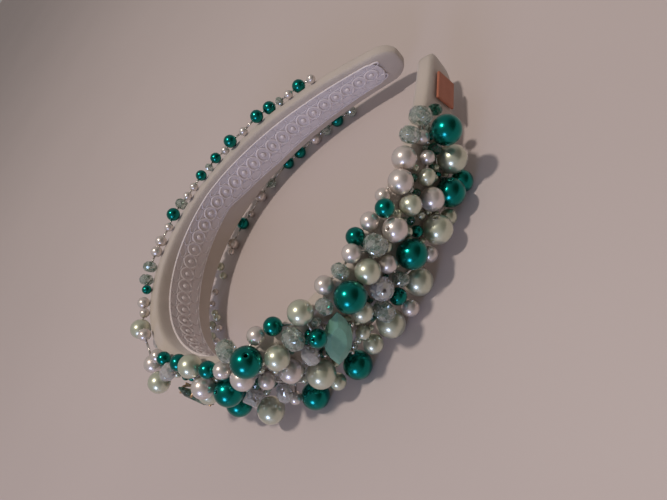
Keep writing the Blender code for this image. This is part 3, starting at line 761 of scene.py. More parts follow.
def repeat_tree():
    """Template repeated at a pitch along a line, turned with it and as wide as the line says."""
    sizes = {
        "Template": ("NodeSocketObject", None),
        "Finish": ("NodeSocketMaterial", None),
        "Pitch": ("NodeSocketFloat", 0.0042),
        "Height Share": ("NodeSocketFloat", 1.0),
    }
    tree, entry, end = geometry_tree("Repeat on a line", sizes)
    facing = attribute(tree, "facing", "FLOAT_VECTOR")
    first = wire_up(tree, "FunctionNodeAlignRotationToVector", {"Vector": facing}, axis="Z")
    tangent = wire_up(tree, "GeometryNodeInputTangent").outputs[0]
    inputs = {"Rotation": out_of(first), "Vector": tangent}
    second = wire_up(tree, "FunctionNodeAlignRotationToVector", inputs, axis="X", pivot_axis="Z")
    width = attribute(tree, "width", "FLOAT")
    inputs = {"X": entry.outputs["Pitch"], "Y": width, "Z": entry.outputs["Height Share"]}
    size = wire_up(tree, "ShaderNodeCombineXYZ", inputs).outputs[0]
    copies = copies_of(tree, entry, even_line(tree, entry, "Pitch"), out_of(second), size)
    return finish_tree(tree, entry, end, copies)


# Materials


def shader_group(name, inputs, outputs):
    """Empty shader group with number inputs and named outputs, and its group input and output nodes."""
    tree = bpy.data.node_groups.new(name, "ShaderNodeTree")
    for label, value in inputs.items():
        socket = tree.interface.new_socket(label, in_out="INPUT", socket_type="NodeSocketFloat")
        socket.default_value = value
    for label, kind in outputs.items():
        tree.interface.new_socket(label, in_out="OUTPUT", socket_type=kind)
    return tree, tree.nodes.new("NodeGroupInput"), tree.nodes.new("NodeGroupOutput")


def variation_group():
    """Mask of soft blotches and a fine grain, for colour that is never quite even."""
    if "Surface variation" in bpy.data.node_groups:
        return bpy.data.node_groups["Surface variation"]
    inputs = {"Blotch Scale": 200.0, "Grain Scale": 4000.0, "Grain Share": 0.3}
    outputs = {"Mask": "NodeSocketFloat", "Grain": "NodeSocketFloat"}
    tree, entry, end = shader_group("Surface variation", inputs, outputs)
    where = wire_up(tree, "ShaderNodeTexCoord").outputs["Object"]
    noises = []
    for scale, detail in (("Blotch Scale", 3.0), ("Grain Scale", 2.0)):
        inputs = {"Vector": where, "Scale": entry.outputs[scale], "Detail": detail}
        noises.append(wire_up(tree, "ShaderNodeTexNoise", inputs).outputs[0])
    blotch, grain = noises
    inputs = {0: entry.outputs["Grain Share"], 2: blotch, 3: grain}
    mix = wire_up(tree, "ShaderNodeMix", inputs, data_type="FLOAT")
    tree.links.new(mix.outputs[0], end.inputs["Mask"])
    tree.links.new(grain, end.inputs["Grain"])
    return tree


def weave_group():
    """Height of a plain weave, read from the piece's own UV map in millimetres."""
    if "Fine weave" in bpy.data.node_groups:
        return bpy.data.node_groups["Fine weave"]
    tree, entry, end = shader_group("Fine weave", {"Threads per mm": 3.0}, {"Height": "NodeSocketFloat"})
    where = wire_up(tree, "ShaderNodeUVMap", uv_map="UVMap").outputs[0]
    scaled = vector_maths(tree, "SCALE", {0: where, "Scale": entry.outputs["Threads per mm"]})
    parts = wire_up(tree, "ShaderNodeSeparateXYZ", {"Vector": scaled})
    angles = [maths(tree, "MULTIPLY", parts.outputs[axis], math.pi) for axis in ("X", "Y")]
    waves = [maths(tree, "SINE", angle) for angle in angles]
    tree.links.new(maths(tree, "MULTIPLY", *waves), end.inputs["Height"])
    return tree


def facet_group():
    """Random tone of each small facet, the distance to its edge, and a normal that leans its own way."""
    if "Facets" in bpy.data.node_groups:
        return bpy.data.node_groups["Facets"]
    outputs = {"Tone": "NodeSocketFloat", "Edge": "NodeSocketFloat", "Normal": "NodeSocketVector"}
    tree, entry, end = shader_group("Facets", {"Scale": 700.0}, outputs)
    where = wire_up(tree, "ShaderNodeTexCoord").outputs["Object"]
    values = {"Vector": where, "Scale": entry.outputs["Scale"]}
    cells = wire_up(tree, "ShaderNodeTexVoronoi", values).outputs["Color"]
    edges = wire_up(tree, "ShaderNodeTexVoronoi", values, feature="DISTANCE_TO_EDGE")
    tone = wire_up(tree, "ShaderNodeSeparateColor", {"Color": cells})
    centred = vector_maths(tree, "SUBTRACT", {0: cells, 1: (0.5, 0.5, 0.5)})
    lean = vector_maths(tree, "SCALE", {0: centred, "Scale": FACET_LEAN})
    facing = wire_up(tree, "ShaderNodeNewGeometry").outputs["Normal"]
    leaning = vector_maths(tree, "NORMALIZE", {0: vector_maths(tree, "ADD", {0: facing, 1: lean})})
    tree.links.new(leaning, end.inputs["Normal"])
    tree.links.new(tone.outputs[0], end.inputs["Tone"])
    tree.links.new(edges.outputs["Distance"], end.inputs["Edge"])
    return tree


def new_material(name):
    """Material with only its Principled shader, the node tree and the shader."""
    material = bpy.data.materials.new(name)
    material.use_nodes = True
    tree = material.node_tree
    return material, tree, tree.nodes["Principled BSDF"]


def set_shader(shader, values):
    for name, value in values.items():
        shader.inputs[name].default_value = value


def variation(tree, blotch, grain, share=0.3):
    """Surface variation with its own scales, as its mask and its grain."""
    values = {"Blotch Scale": blotch, "Grain Scale": grain, "Grain Share": share}
    group = wire_up(tree, "ShaderNodeGroup", values, node_tree=variation_group())
    return group.outputs["Mask"], group.outputs["Grain"]


def two_tones(tree, shader, mask, dark, light, stops=(0.3, 0.7)):
    """Base colour that moves between two tones with a mask."""
    ramp = wire_up(tree, "ShaderNodeValToRGB", {"Fac": mask})
    for element, stop, colour in zip(ramp.color_ramp.elements, stops, (dark, light)):
        element.position = stop
        element.color = (*colour, 1)
    tree.links.new(ramp.outputs["Color"], shader.inputs["Base Color"])


def vary_roughness(tree, shader, mask, smooth, rough):
    """Roughness that moves between two values with a mask."""
    spread = wire_up(tree, "ShaderNodeMapRange", {"Value": mask, "To Min": smooth, "To Max": rough})
    tree.links.new(spread.outputs[0], shader.inputs["Roughness"])


def add_bump(tree, shader, height, distance, strength):
    """Bump of a height in metres."""
    bump = wire_up(tree, "ShaderNodeBump", {"Height": height, "Distance": distance, "Strength": strength})
    tree.links.new(bump.outputs["Normal"], shader.inputs["Normal"])


def pearl_material(name, dark, light, metallic, roughness, coat):
    """Lacquered pearl: a faint grain under a glossy coat."""
    material, tree, shader = new_material(name)
    mask, grain = variation(tree, 260.0, 5200.0, 0.25)
    two_tones(tree, shader, mask, dark, light)
    vary_roughness(tree, shader, mask, roughness * 0.85, roughness * 1.2)
    add_bump(tree, shader, grain, 0.00001, 0.25)
    set_shader(shader, {"Metallic": metallic, "IOR": 1.55})
    set_shader(shader, {"Coat Weight": coat, "Coat Roughness": 0.13, "Coat IOR": 1.75})
    return material


def facet_colour_with_painted_sparkle(tree, shader, dark, light, facets):
    """Base colour with painted sparkle: each small facet gets a random tone between the dark and the light
    one, standing in for the glints and dark reflections of cut glass, and a painted bright glint line runs
    along the edges between facets.
    """
    cells = wire_up(tree, "ShaderNodeGroup", {"Scale": facets}, node_tree=facet_group())
    # Painted glint: near the edges between facets the base colour turns to the light tone
    inputs = {"Value": cells.outputs["Edge"], "From Max": 0.07, "To Min": 1.0, "To Max": 0.0}
    line = wire_up(tree, "ShaderNodeMapRange", inputs).outputs[0]
    tone = maths(tree, "MAXIMUM", cells.outputs["Tone"], line)
    two_tones(tree, shader, tone, dark, light, (0.15, 0.95))
    tree.links.new(cells.outputs["Normal"], shader.inputs["Normal"])


def glass_material(name, dark, light, roughness, transmission, facets=700.0, values=None):
    """Glass, cut in small facets with painted sparkle on them, unless their number is nought."""
    material, tree, shader = new_material(name)
    mask, _ = variation(tree, 320.0, 3000.0)
    if facets:
        facet_colour_with_painted_sparkle(tree, shader, dark, light, facets)
    else:
        two_tones(tree, shader, mask, dark, light)
    vary_roughness(tree, shader, mask, roughness * 0.6, roughness * 1.5)
    set_shader(shader, {"Transmission Weight": transmission, "IOR": 1.56})
    set_shader(shader, values or {})
    return material


def metal_material(name, dark, light, roughness):
    """Bright metal with fine scratches."""
    material, tree, shader = new_material(name)
    mask, grain = variation(tree, 400.0, 6000.0)
    two_tones(tree, shader, mask, dark, light)
    vary_roughness(tree, shader, grain, roughness * 0.7, roughness * 1.4)
    set_shader(shader, {"Metallic": 1.0})
    return material


def cloth_material(name, dark, light, threads, depth, roughness, sheen):
    """Woven cloth with a soft sheen."""
    material, tree, shader = new_material(name)
    mask, grain = variation(tree, 60.0, 2600.0, 0.4)
    two_tones(tree, shader, mask, dark, light)
    weave = wire_up(tree, "ShaderNodeGroup", {"Threads per mm": threads}, node_tree=weave_group())
    inputs = {0: 0.45, 2: weave.outputs["Height"], 3: grain}
    mix = wire_up(tree, "ShaderNodeMix", inputs, data_type="FLOAT")
    add_bump(tree, shader, mix.outputs[0], depth, 0.8)
    set_shader(shader, {"Roughness": roughness, "Sheen Weight": sheen, "Sheen Roughness": 0.4})
    return material


def leather_material(name, dark, light):
    """Pebbled leather."""
    material, tree, shader = new_material(name)
    mask, _ = variation(tree, 220.0, 2400.0, 0.45)
    two_tones(tree, shader, mask, dark, light)
    inputs = {"Vector": wire_up(tree, "ShaderNodeTexCoord").outputs["Object"], "Scale": 1900.0}
    pebble = wire_up(tree, "ShaderNodeTexVoronoi", inputs, feature="DISTANCE_TO_EDGE")
    add_bump(tree, shader, pebble.outputs["Distance"], 0.00006, 0.6)
    set_shader(shader, {"Roughness": 0.58, "Specular IOR Level": 0.35})
    return material


# Meshes


def linked_object(name, data):
    """Object in the scene."""
    item = bpy.data.objects.new(name, data)
    bpy.context.scene.collection.objects.link(item)
    return item


def mesh_of(shape, name, turned=True):
    """Mesh of a finished bmesh, with its faces turned outwards unless they are as they should be."""
    if turned:
        bmesh.ops.recalc_face_normals(shape, faces=shape.faces)
    mesh = bpy.data.meshes.new(name)
    shape.to_mesh(mesh)
    shape.free()
    return mesh


def merged_copy(mesh):
    """Shape of a mesh's loose triangles, joined at their corners."""
    shape = bmesh.new()
    shape.from_mesh(mesh)
    bmesh.ops.remove_doubles(shape, verts=shape.verts, dist=MERGE)
    return shape


def new_piece(name, mesh, material, slot, nodes=(), smooth=True):
    """Piece at the origin that rides on the root body and stands for the nodes, if any."""
    mesh.name = name
    piece = linked_object(name, mesh)
    mesh.materials.clear()
    mesh.materials.append(material)
    mesh.polygons.foreach_set("use_smooth", [smooth] * len(mesh.polygons))
    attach(piece, "root")
    for node in nodes:
        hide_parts(node)
    return piece


def stitch(shape, low, high, shift):
    """Faces between two rings: squares, or triangles if the second is turned half a side on or back."""
    for i in range(len(low)):
        j = (i + 1) % len(low)
        if shift > 0:
            shape.faces.new((low[i], low[j], high[i]))
            shape.faces.new((low[j], high[j], high[i]))
        elif shift < 0:
            shape.faces.new((low[i], high[j], high[i]))
            shape.faces.new((low[i], low[j], high[j]))
        else:
            shape.faces.new((low[i], low[j], high[j], high[i]))


def circle(radius, sides, start=0.0):
    """Points of a circle round the origin."""
    turns = [2 * math.pi * i / sides + start for i in range(sides)]
    return [(radius * math.cos(turn), radius * math.sin(turn)) for turn in turns]


def lathe(profile, segments, closed):
    """Mesh of a profile of (radius, height) turned about Z. A closed profile makes a ring."""
    shape = bmesh.new()
    rings = []
    for radius, height in profile:
        spots = circle(radius, segments) if radius > 1e-9 else [(0, 0)]
        rings.append([shape.verts.new((x, y, height)) for x, y in spots])
    pairs = list(zip(rings, rings[1:]))
    if closed:
        pairs.append((rings[-1], rings[0]))
    for low, high in pairs:
        for i in range(segments):
            j = (i + 1) % segments
            corners = [low[i % len(low)], low[j % len(low)], high[j % len(high)], high[i % len(high)]]
            unique = list(dict.fromkeys(corners))
            if len(unique) > 2:
                shape.faces.new(unique)
    return mesh_of(shape, "lathe")


def pearl_template(segments, arcs):
    """Pearl of radius 1 with a drill hole through it, whose rim is slightly rounded."""
    start = math.asin(HOLE_SHARE)
    rim = (HOLE_SHARE * 0.72, math.cos(start) - 0.09)
    angles = [start + (math.pi - 2 * start) * i / arcs for i in range(arcs + 1)]
    profile = [(math.sin(angle), -math.cos(angle)) for angle in angles]
    return lathe([(rim[0], -rim[1]), *profile, rim], segments, closed=True)


def cut_template(sides, rings=CUT_RINGS):
    """Faceted bead of radius 1, its rings turned half a side from one to the next, with a thin hole."""
    shape = bmesh.new()
    loops = []
    for level, (radius, height) in enumerate(rings):
        spots = circle(radius, sides, math.pi / sides * (level % 2))
        loops.append([shape.verts.new((x, y, height)) for x, y in spots])
    for level, (low, high) in enumerate(zip(loops, loops[1:])):
        stitch(shape, low, high, -1 if level % 2 else 1)
    stitch(shape, loops[0], loops[-1], 0)
    return mesh_of(shape, "cut bead")


def axis_matrix(axis, spin):
    """Turn that brings Z to the axis, after a spin about it."""
    axis = Vector(axis).normalized()
    return axis.to_track_quat("Z", "Y").to_matrix().to_4x4() @ Matrix.Rotation(spin, 4, "Z")


def loft_mesh(sections, uvs=None):
    """Closed mesh through rings of equally many points in metres, and its UV map if given."""
    shape = bmesh.new()
    rings = [[shape.verts.new(point) for point in section] for section in sections]
    layer = shape.loops.layers.uv.new("UVMap") if uvs else None
    around = len(rings[0])
    for level, (low, high) in enumerate(zip(rings, rings[1:])):
        for i in range(around):
            j = (i + 1) % around
            face = shape.faces.new((low[i], low[j], high[j], high[i]))
            if layer:
                places = ((level, i), (level, i + 1), (level + 1, i + 1), (level + 1, i))
                for loop, (a, b) in zip(face.loops, places):
                    loop[layer].uv = uvs(a, b)
    shape.faces.new(rings[0])
    shape.faces.new(rings[-1])
    return mesh_of(shape, "loft")


def tube_mesh(points, radius):
    """Mesh tube with closed ends along smooth points in metres."""
    curve = bpy.data.curves.new("tube", "CURVE")
    curve.dimensions = "3D"
    curve.bevel_depth = radius
    curve.bevel_resolution = 4
    curve.use_fill_caps = True
    spline = curve.splines.new("NURBS")
    spline.points.add(len(points) - 1)
    for target, point in zip(spline.points, points):
        target.co = (*point, 1)
    spline.order_u = 3
    spline.use_endpoint_u = True
    spline.resolution_u = 6
    line = linked_object("tube", curve)
    bpy.context.view_layer.update()
    mesh = bpy.data.meshes.new_from_object(line.evaluated_get(bpy.context.evaluated_depsgraph_get()))
    bpy.data.objects.remove(line)
    bpy.data.curves.remove(curve)
    shape = merged_copy(mesh)
    bpy.data.meshes.remove(mesh)
    return mesh_of(shape, "tube")


def joined(meshes):
    """One mesh of several."""
    shape = bmesh.new()
    for mesh in meshes:
        shape.from_mesh(mesh)
        bpy.data.meshes.remove(mesh)
    return mesh_of(shape, "joined", turned=False)


def ring_mesh(centre, radii, thread, turns, lift=0.0, wave=0.0, sides=6):
    """Oval ring of thread in the XY plane, which goes up and down as it goes round."""
    shape = bmesh.new()
    loops = []
    for i in range(turns):
        angle = 2 * math.pi * i / turns
        x = centre[0] + radii[0] * math.cos(angle)
        y = centre[1] + radii[1] * math.sin(angle)
        z = lift + wave * math.cos(2 * angle)
        outward = Vector((math.cos(angle), math.sin(angle) * 0.5, 0)).normalized()
        loop = []
        for side, rise in circle(1.0, sides):
            across = outward.x * side * thread[0], outward.y * side * thread[1]
            loop.append(shape.verts.new((x + across[0], y + across[1], z + rise * thread[2])))
        loops.append(loop)
    for a, b in zip(loops, loops[1:] + loops[:1]):
        stitch(shape, a, b, 0)
    return mesh_of(shape, "ring")


def loop_template(thread):
    """One repeat of the braid, 1 long and 1 wide: a round loop with a knot, and scallops to each side."""
    size = (thread, thread * 0.5, thread)
    fine = tuple(share * 0.75 for share in size)
    meshes = [
        ring_mesh((0, 0.04), (0.47, 0.25), size, 20, wave=0.02),
        ring_mesh((0.5, 0.40), (0.44, 0.10), fine, 16, lift=-0.01, wave=-0.01),
        ring_mesh((0.5, -0.34), (0.46, 0.13), fine, 16, lift=-0.01, wave=-0.01),
    ]
    knob = lathe([(0, -0.1), (0.14, -0.06), (0.19, 0.03), (0.13, 0.11), (0, 0.15)], 12, closed=False)
    knob.transform(Matrix.Translation((0, 0.04, 0)) @ Matrix.Diagonal((1.0, 0.55, 1.0, 1.0)))
    return joined(meshes + [knob])


# Settings shown in the sidebar


def length_setting(name, description, default):
    return bpy.props.FloatProperty(name=name, description=description, default=default, unit="LENGTH")


def power_setting(name, description, default):
    return bpy.props.FloatProperty(name=name, description=description, default=default, unit="POWER")


def colour_setting(name, description, default):
    return bpy.props.FloatVectorProperty(
        name=name, description=description, default=default, subtype="COLOR"
    )


class BandSettings(bpy.types.PropertyGroup):
    stations: bpy.props.IntProperty(name="Stations", description="Rings along the padded band", default=340)
    around: bpy.props.IntProperty(name="Around", description="Points round the band's section", default=56)
    pucker: length_setting("Pucker", "Height of the fabric's small folds", 0.00004)
    hem: length_setting("Hem", "How far the lower edge sags", 0.0012)
    fabric_dark: colour_setting("Fabric shade", "Darker tone of the satin", (0.53, 0.46, 0.41))
    fabric_light: colour_setting("Fabric light", "Lighter tone of the satin", (0.61, 0.53, 0.47))


class BraidSettings(bpy.types.PropertyGroup):
    pitch: length_setting("Pitch", "Distance from one loop to the next", 0.0061)
    cord: length_setting("Edge cord", "Radius of the cords at the braid's edges", 0.00045)
    tuck: length_setting("Tuck", "How much lower the braid's top edge runs on the near arm", 0.0024)
    thread: length_setting("Thread", "Radius of the looped thread", 0.0006)
    colour_dark: colour_setting("Thread shade", "Darker tone of the braid", (0.74, 0.67, 0.67))
    colour_light: colour_setting("Thread light", "Lighter tone of the braid", (0.86, 0.78, 0.79))


class BeadSettings(bpy.types.PropertyGroup):
    emerald: colour_setting("Emerald", "Colour of the deep green pearls", (0.0, 0.21, 0.18))
    mint: colour_setting("Mint", "Colour of the pale green pearls", (0.66, 0.69, 0.53))
    ivory: colour_setting("Ivory", "Colour of the warm white pearls", (0.77, 0.69, 0.64))
    string_share: bpy.props.FloatProperty(
        name="Small bead size", description="Size of the strung and seed beads, as a share", default=1.0
    )
    seed: bpy.props.IntProperty(name="Seed", description="Seed of the scattered beads", default=5)


class StageSettings(bpy.types.PropertyGroup):
    floor: colour_setting("Floor", "Colour of the surface under the tiara", (0.60, 0.515, 0.495))
    key_power: power_setting("Key power", "Lamp over the tiara", 4.6)
    side_power: power_setting("Side power", "Cool lamp", 2.6)
    sky: bpy.props.FloatProperty(name="Sky", description="Strength of the even light", default=0.29)


# Things that several pieces share, made once

MATERIALS = {}
PLACES = []


def pearl_finishes(settings):
    """Materials of the bead kinds."""
    if MATERIALS:
        return MATERIALS
    for look in PEARL_LOOKS:
        colour = getattr(settings, look.kind)
        dark, light = (tuple(min(c * share, 1.0) for c in colour) for share in (look.dark, look.light))
        name = f"{look.kind.capitalize()} pearl"
        MATERIALS[look.kind] = pearl_material(name, dark, light, look.metallic, look.roughness, look.coat)
    for look in GLASS_LOOKS:
        MATERIALS[look.kind] = glass_material(
            look.name, look.dark, look.light, look.roughness, look.transmission, values=look.values
        )
    return MATERIALS


def places():
    if not PLACES:
        PLACES.extend(bead_places())
    return PLACES


def strung():
    """The strings' beads, and the names of the strings in order."""
    beads = places()[len(SINGLE_BEADS) :]
    return beads, sorted({node for node, _, _ in beads})


def bead_mesh(kind, detail):
    """Round or cut bead of radius 1."""
    if kind in ROUND_KINDS:
        return pearl_template(detail.segments, detail.arcs)
    return cut_template(detail.sides)


def copied_beads(name, kind, bead_mesh, beads, settings, nodes=()):
    """Piece of like beads, each a centre and radius in millimetres and its drill hole's direction."""
    finish = pearl_finishes(settings)[kind]
    template = linked_object("bead template", bead_mesh)
    centres, radii, axes = zip(*beads)
    host = point_host([in_frame(c) for c in centres], axis=axes, size=[radius * MM for radius in radii])
    values = {"Template": template, "Finish": finish, "Size Share": settings.string_share}
    mesh = run_tree(copies_tree(), host, values)
    bpy.data.objects.remove(template)
    new_piece(name, mesh, finish, SLOTS[kind], nodes, smooth=kind in ROUND_KINDS)


def spaced_to_ends(half_length, stations, spread):
    """Lengths from end to end, closer together towards the ends."""
    return half_length * np.sin(np.linspace(-1, 1, stations) * spread) / math.sin(spread)


# Operators, one for each piece or group of like pieces


class TIARA_OT_stage(bpy.types.Operator):
    """Set up the floor, the lights and the camera"""

    bl_idname = "tiara.stage"
    bl_label = "Stage"

    def execute(self, context):
        settings = context.scene.tiara_stage
        self.floor(tuple(settings.floor))
        self.lamp("key", (0.0, 0.0, 1.0), 0.07, settings.key_power, (1.0, 0.91, 0.82))
        self.lamp("side", (-0.707, -0.604, 0.367), 0.34, settings.side_power, (0.52, 0.62, 1.0))
        context.scene.world = self.world(settings.sky)
        context.scene.view_settings.view_transform = "Standard"
        context.scene.camera = self.camera()
        return {"FINISHED"}

    def floor(self, colour):
        shape = bmesh.new()
        bmesh.ops.create_grid(shape, x_segments=1, y_segments=1, size=FLOOR_REACH)
        mesh = mesh_of(shape, "floor", turned=False)
        floor = linked_object("floor", mesh)
        material, tree, shader = new_material("Pale table")
        mask, _ = variation(tree, 6.0, 900.0, 0.1)
        dark, light = (tuple(c * share for c in colour) for share in (0.98, 1.02))
        two_tones(tree, shader, mask, dark, light)
        set_shader(shader, {"Roughness": 0.55})
        mesh.materials.append(material)

    def world(self, sky):
        """Even light that is dim to one side."""
        world = bpy.data.worlds.new("Studio")
        world.use_nodes = True
        tree = world.node_tree
        where = wire_up(tree, "ShaderNodeTexCoord").outputs["Object"]
        facing = vector_maths(tree, "DOT_PRODUCT", {0: where, 1: DARK_SIDE}, "Value")
        inputs = {"Value": facing, "From Min": 0.55, "From Max": 0.98}
        share = wire_up(tree, "ShaderNodeMapRange", inputs, interpolation_type="SMOOTHSTEP")
        inputs = {0: share.outputs[0], 6: (1.0, 0.93, 0.90, 1), 7: (0.20, 0.18, 0.13, 1)}
        tone = wire_up(tree, "ShaderNodeMix", inputs, data_type="RGBA")
        back = tree.nodes["Background"]
        tree.links.new(tone.outputs[2], back.inputs["Color"])
        back.inputs["Strength"].default_value = sky
        return world

    def lamp(self, name, direction, size, power, colour):
        light = bpy.data.lights.new(name, "AREA")
        light.shape = "DISK"
        light.size = size
        light.energy = power
        light.color = colour
        lamp = linked_object(name, light)
        lamp.location = Vector(direction) * LAMP_DISTANCE
        lamp.rotation_euler = Vector(direction).to_track_quat("Z", "Y").to_euler()

    def camera(self):
        right, down, forward = view_directions()
        data = bpy.data.cameras.new("camera")
        data.sensor_width = SENSOR
        data.lens = CAMERA_FOCAL_PIXELS * SENSOR / PHOTO_WIDTH_PIXELS
        data.clip_start = 0.01
        camera = linked_object("camera", data)
        turn = Matrix((right, -down, -forward)).transposed().to_4x4()
        camera.matrix_world = Matrix.Translation(in_frame(CAMERA_PLACE)) @ turn
        return camera


class TIARA_OT_band(bpy.types.Operator):
    """Build the padded band in stretched satin"""

    bl_idname = "tiara.band"
    bl_label = "Padded band"

    def execute(self, context):
        settings = context.scene.tiara_band
        around = settings.around
        lengths = spaced_to_ends(HALF_LENGTH, settings.stations, BAND_SPREAD)
        girth = 2 * (CROWN_WIDTH + THICKNESS)

        def uvs(level, i):
            return (lengths[level], girth * i / around)

        hem, pucker = settings.hem / MM, settings.pucker / MM
        mesh = loft_mesh([self.section(along, around, hem, pucker) for along in lengths], uvs)
        tones = tuple(settings.fabric_dark), tuple(settings.fabric_light)
        material = cloth_material(
            "Band satin", *tones, threads=3.2, depth=0.00005, roughness=0.62, sheen=0.5
        )
        band = new_piece("padded_band", mesh, material, "padded_fabric", ["band"])
        return {"FINISHED"}

    def section(self, along, around, hem, pucker):
        """Rounded section of the band with its small folds, narrower and thinner towards the tip."""
        share = math.sqrt(1 - (1 - min((HALF_LENGTH - abs(along)) / TIP_ROUND, 1.0)) ** 2)
        half = band_width(along) / 2 * (TIP_WIDTH_SHARE + (1 - TIP_WIDTH_SHARE) * share)
        thick = THICKNESS / 2 * (TIP_THICKNESS_SHARE + (1 - TIP_THICKNESS_SHARE) * share)
        points = []
        for i in range(around):
            turn = 2 * math.pi * (i + 0.5) / around
            c, s = math.cos(turn), math.sin(turn)
            across = math.copysign(abs(c) ** SECTION_POWERS[0], c) * half
            across = min(across, across * (1 + hem / half * share))
            out = math.copysign(abs(s) ** SECTION_POWERS[1], s) * thick
            fold = math.sin(along * 0.9 + 3.1 * math.sin(turn * 2 + along * 0.05))
            fold *= math.sin(along * 0.23 + turn) * pucker
            out += fold * s
            across += fold * 0.5 * c
            points.append(at(along, across, out))
        return points


class TIARA_OT_braid(bpy.types.Operator):
    """Build the woven trim on the band's inner face"""

    bl_idname = "tiara.braid"
    bl_label = "Braid"

    def execute(self, context):
        settings = context.scene.tiara_braid
        tones = tuple(settings.colour_dark), tuple(settings.colour_light)
        material = cloth_material(
            "Braid thread", *tones, threads=4.0, depth=0.00004, roughness=0.5, sheen=0.4
        )
        lengths = spaced_to_ends(BRAID_HALF_LENGTH, BRAID_STATIONS, BRAID_SPREAD)
        stations, lows, highs = zip(*BRAID_EDGES)
        low = np.interp(np.abs(lengths), stations, lows)
        high = np.interp(np.abs(lengths), stations, highs)
        high -= np.interp(-lengths, BRAID_TUCK_RANGE, (0.0, settings.tuck / MM))
        cord = settings.cord / MM
        inner = np.abs(lengths) < BRAID_HALF_LENGTH - BRAID_LOOPS_END
        rows = (lengths[inner], low[inner] + 2 * cord, high[inner] - 2 * cord)
        self.loops(settings, *rows, BRAID_BACK - BRAID_LOOPS_OUT, material)
        inset = np.clip((BRAID_HALF_LENGTH - np.abs(lengths)) / BRAID_END_ROUND, 0.0, 1.0)
        squeeze = np.clip(np.sqrt(1 - (1 - inset) ** 2), BRAID_END_SHARE, 1.0)
        low, high = ((low + high) / 2 - side * (high - low) / 2 * squeeze for side in (1, -1))
        self.strip(lengths, low + BRAID_INSET, high - BRAID_INSET, material)
        self.cords(settings, lengths, low + cord, high - cord, BRAID_BACK - BRAID_THICKNESS, material)
        return {"FINISHED"}

    def strip(self, lengths, low, high, material):
        front = BRAID_BACK - BRAID_THICKNESS
        sections = []
        for along, a, b in zip(lengths, low, high):
            outline = ((a, BRAID_BACK), (b, BRAID_BACK), (b, front), (a, front))
            sections.append([at(along, across, out) for across, out in outline])

        def uvs(level, i):
            return (lengths[level], (0, 12, 13, 25, 26)[i])

        mesh = loft_mesh(sections, uvs)
        new_piece("braid_ground", mesh, material, "woven_trim", ["braid"], smooth=False)

    def cords(self, settings, lengths, low, high, out, material):
        tree = cord_tree()
        values = {"Finish": material, "Radius": settings.cord, "Step": 0.00055, "Sides": 8, "Lay": 0.42}
        meshes = []
        for edge in (low, high):
            host = line_host([at(along, across, out) for along, across in zip(lengths, edge)])
            meshes.append(run_tree(tree, host, values))
        new_piece("braid_edge_cords", joined(meshes), material, "woven_trim", ["braid"])

    def loops(self, settings, lengths, low, high, out, material):
        pitch = settings.pitch
        template = linked_object("loop unit", loop_template(settings.thread / pitch))
        points = [at(along, (a + b) / 2, out) for along, a, b in zip(lengths, low, high)]
        facing = [-directions(along)[0] for along in lengths]
        host = line_host(points, facing=facing, width=(high - low) * MM)
        values = {"Template": template, "Finish": material, "Pitch": pitch, "Height Share": pitch}
        mesh = run_tree(repeat_tree(), host, values)
        bpy.data.objects.remove(template)
        new_piece("braid_loops", mesh, material, "woven_trim", ["braid"])


class TIARA_OT_label(bpy.types.Operator):
    """Build the plain leather patch"""

    bl_idname = "tiara.label"
    bl_label = "Leather patch"

    def execute(self, context):
        shape = merged_copy(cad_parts["label"].data)
        bmesh.ops.dissolve_limit(shape, angle_limit=0.02, verts=shape.verts, edges=shape.edges)
        mesh = mesh_of(shape, "label", turned=False)
        material = leather_material("Terracotta leather", (0.45, 0.145, 0.085), (0.58, 0.22, 0.135))
        patch = new_piece("leather_patch", mesh, material, "plain_leather", ["label"], smooth=False)
        bevel = patch.modifiers.new("Edge", "BEVEL")
        bevel.width = 0.0004
        bevel.segments = 3
        return {"FINISHED"}


class TIARA_OT_single_beads(bpy.types.Operator):
    """Build the large pearls and crystals, one piece each"""

    bl_idname = "tiara.single_beads"
    bl_label = "Large beads"

    def execute(self, context):
        finishes = pearl_finishes(context.scene.tiara_beads)
        spin = np.random.default_rng(11)
        templates = {
            "pearl": pearl_template(SINGLE_DETAIL.segments, SINGLE_DETAIL.arcs),
            "cut": cut_template(SINGLE_DETAIL.sides),
            "bicone": cut_template(8, BICONE_RINGS),
        }
        for node, bead, centre in places()[: len(SINGLE_BEADS)]:
            low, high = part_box(node)
            middle = (Vector(low) + Vector(high)) / 2
            round_bead = bead.kind in ROUND_KINDS
            cut = "bicone" if node in BICONES else "cut"
            mesh = templates["pearl" if round_bead else cut].copy()
            axis = hole_direction(node, bead.along, centre)
            turn = axis_matrix(axis, spin.uniform(0, 6.28))
            size = Matrix.Scale(bead.size / 2 * MM, 4)
            mesh.transform(Matrix.Translation(middle) @ turn @ size)
            finish, slot = finishes[bead.kind], SLOTS[bead.kind]
            new_piece(f"{node}_finish", mesh, finish, slot, [node], smooth=round_bead)
        return {"FINISHED"}


class TIARA_OT_strung_beads(bpy.types.Operator):
    """Build the small beads of the strings, one piece for each kind"""

    bl_idname = "tiara.strung_beads"
    bl_label = "Strung beads"

    def execute(self, context):
        all_beads, strings = strung()
        for kind in SLOTS:
            beads = [
                (centre, bead.size / 2, hole_direction(node, bead.along, centre))
                for node, bead, centre in all_beads
                if bead.kind == kind
            ]
            if beads:
                mesh = bead_mesh(kind, STRUNG_DETAIL)
                name = f"strung_{kind}_beads"
                copied_beads(name, kind, mesh, beads, context.scene.tiara_beads, strings)
        return {"FINISHED"}


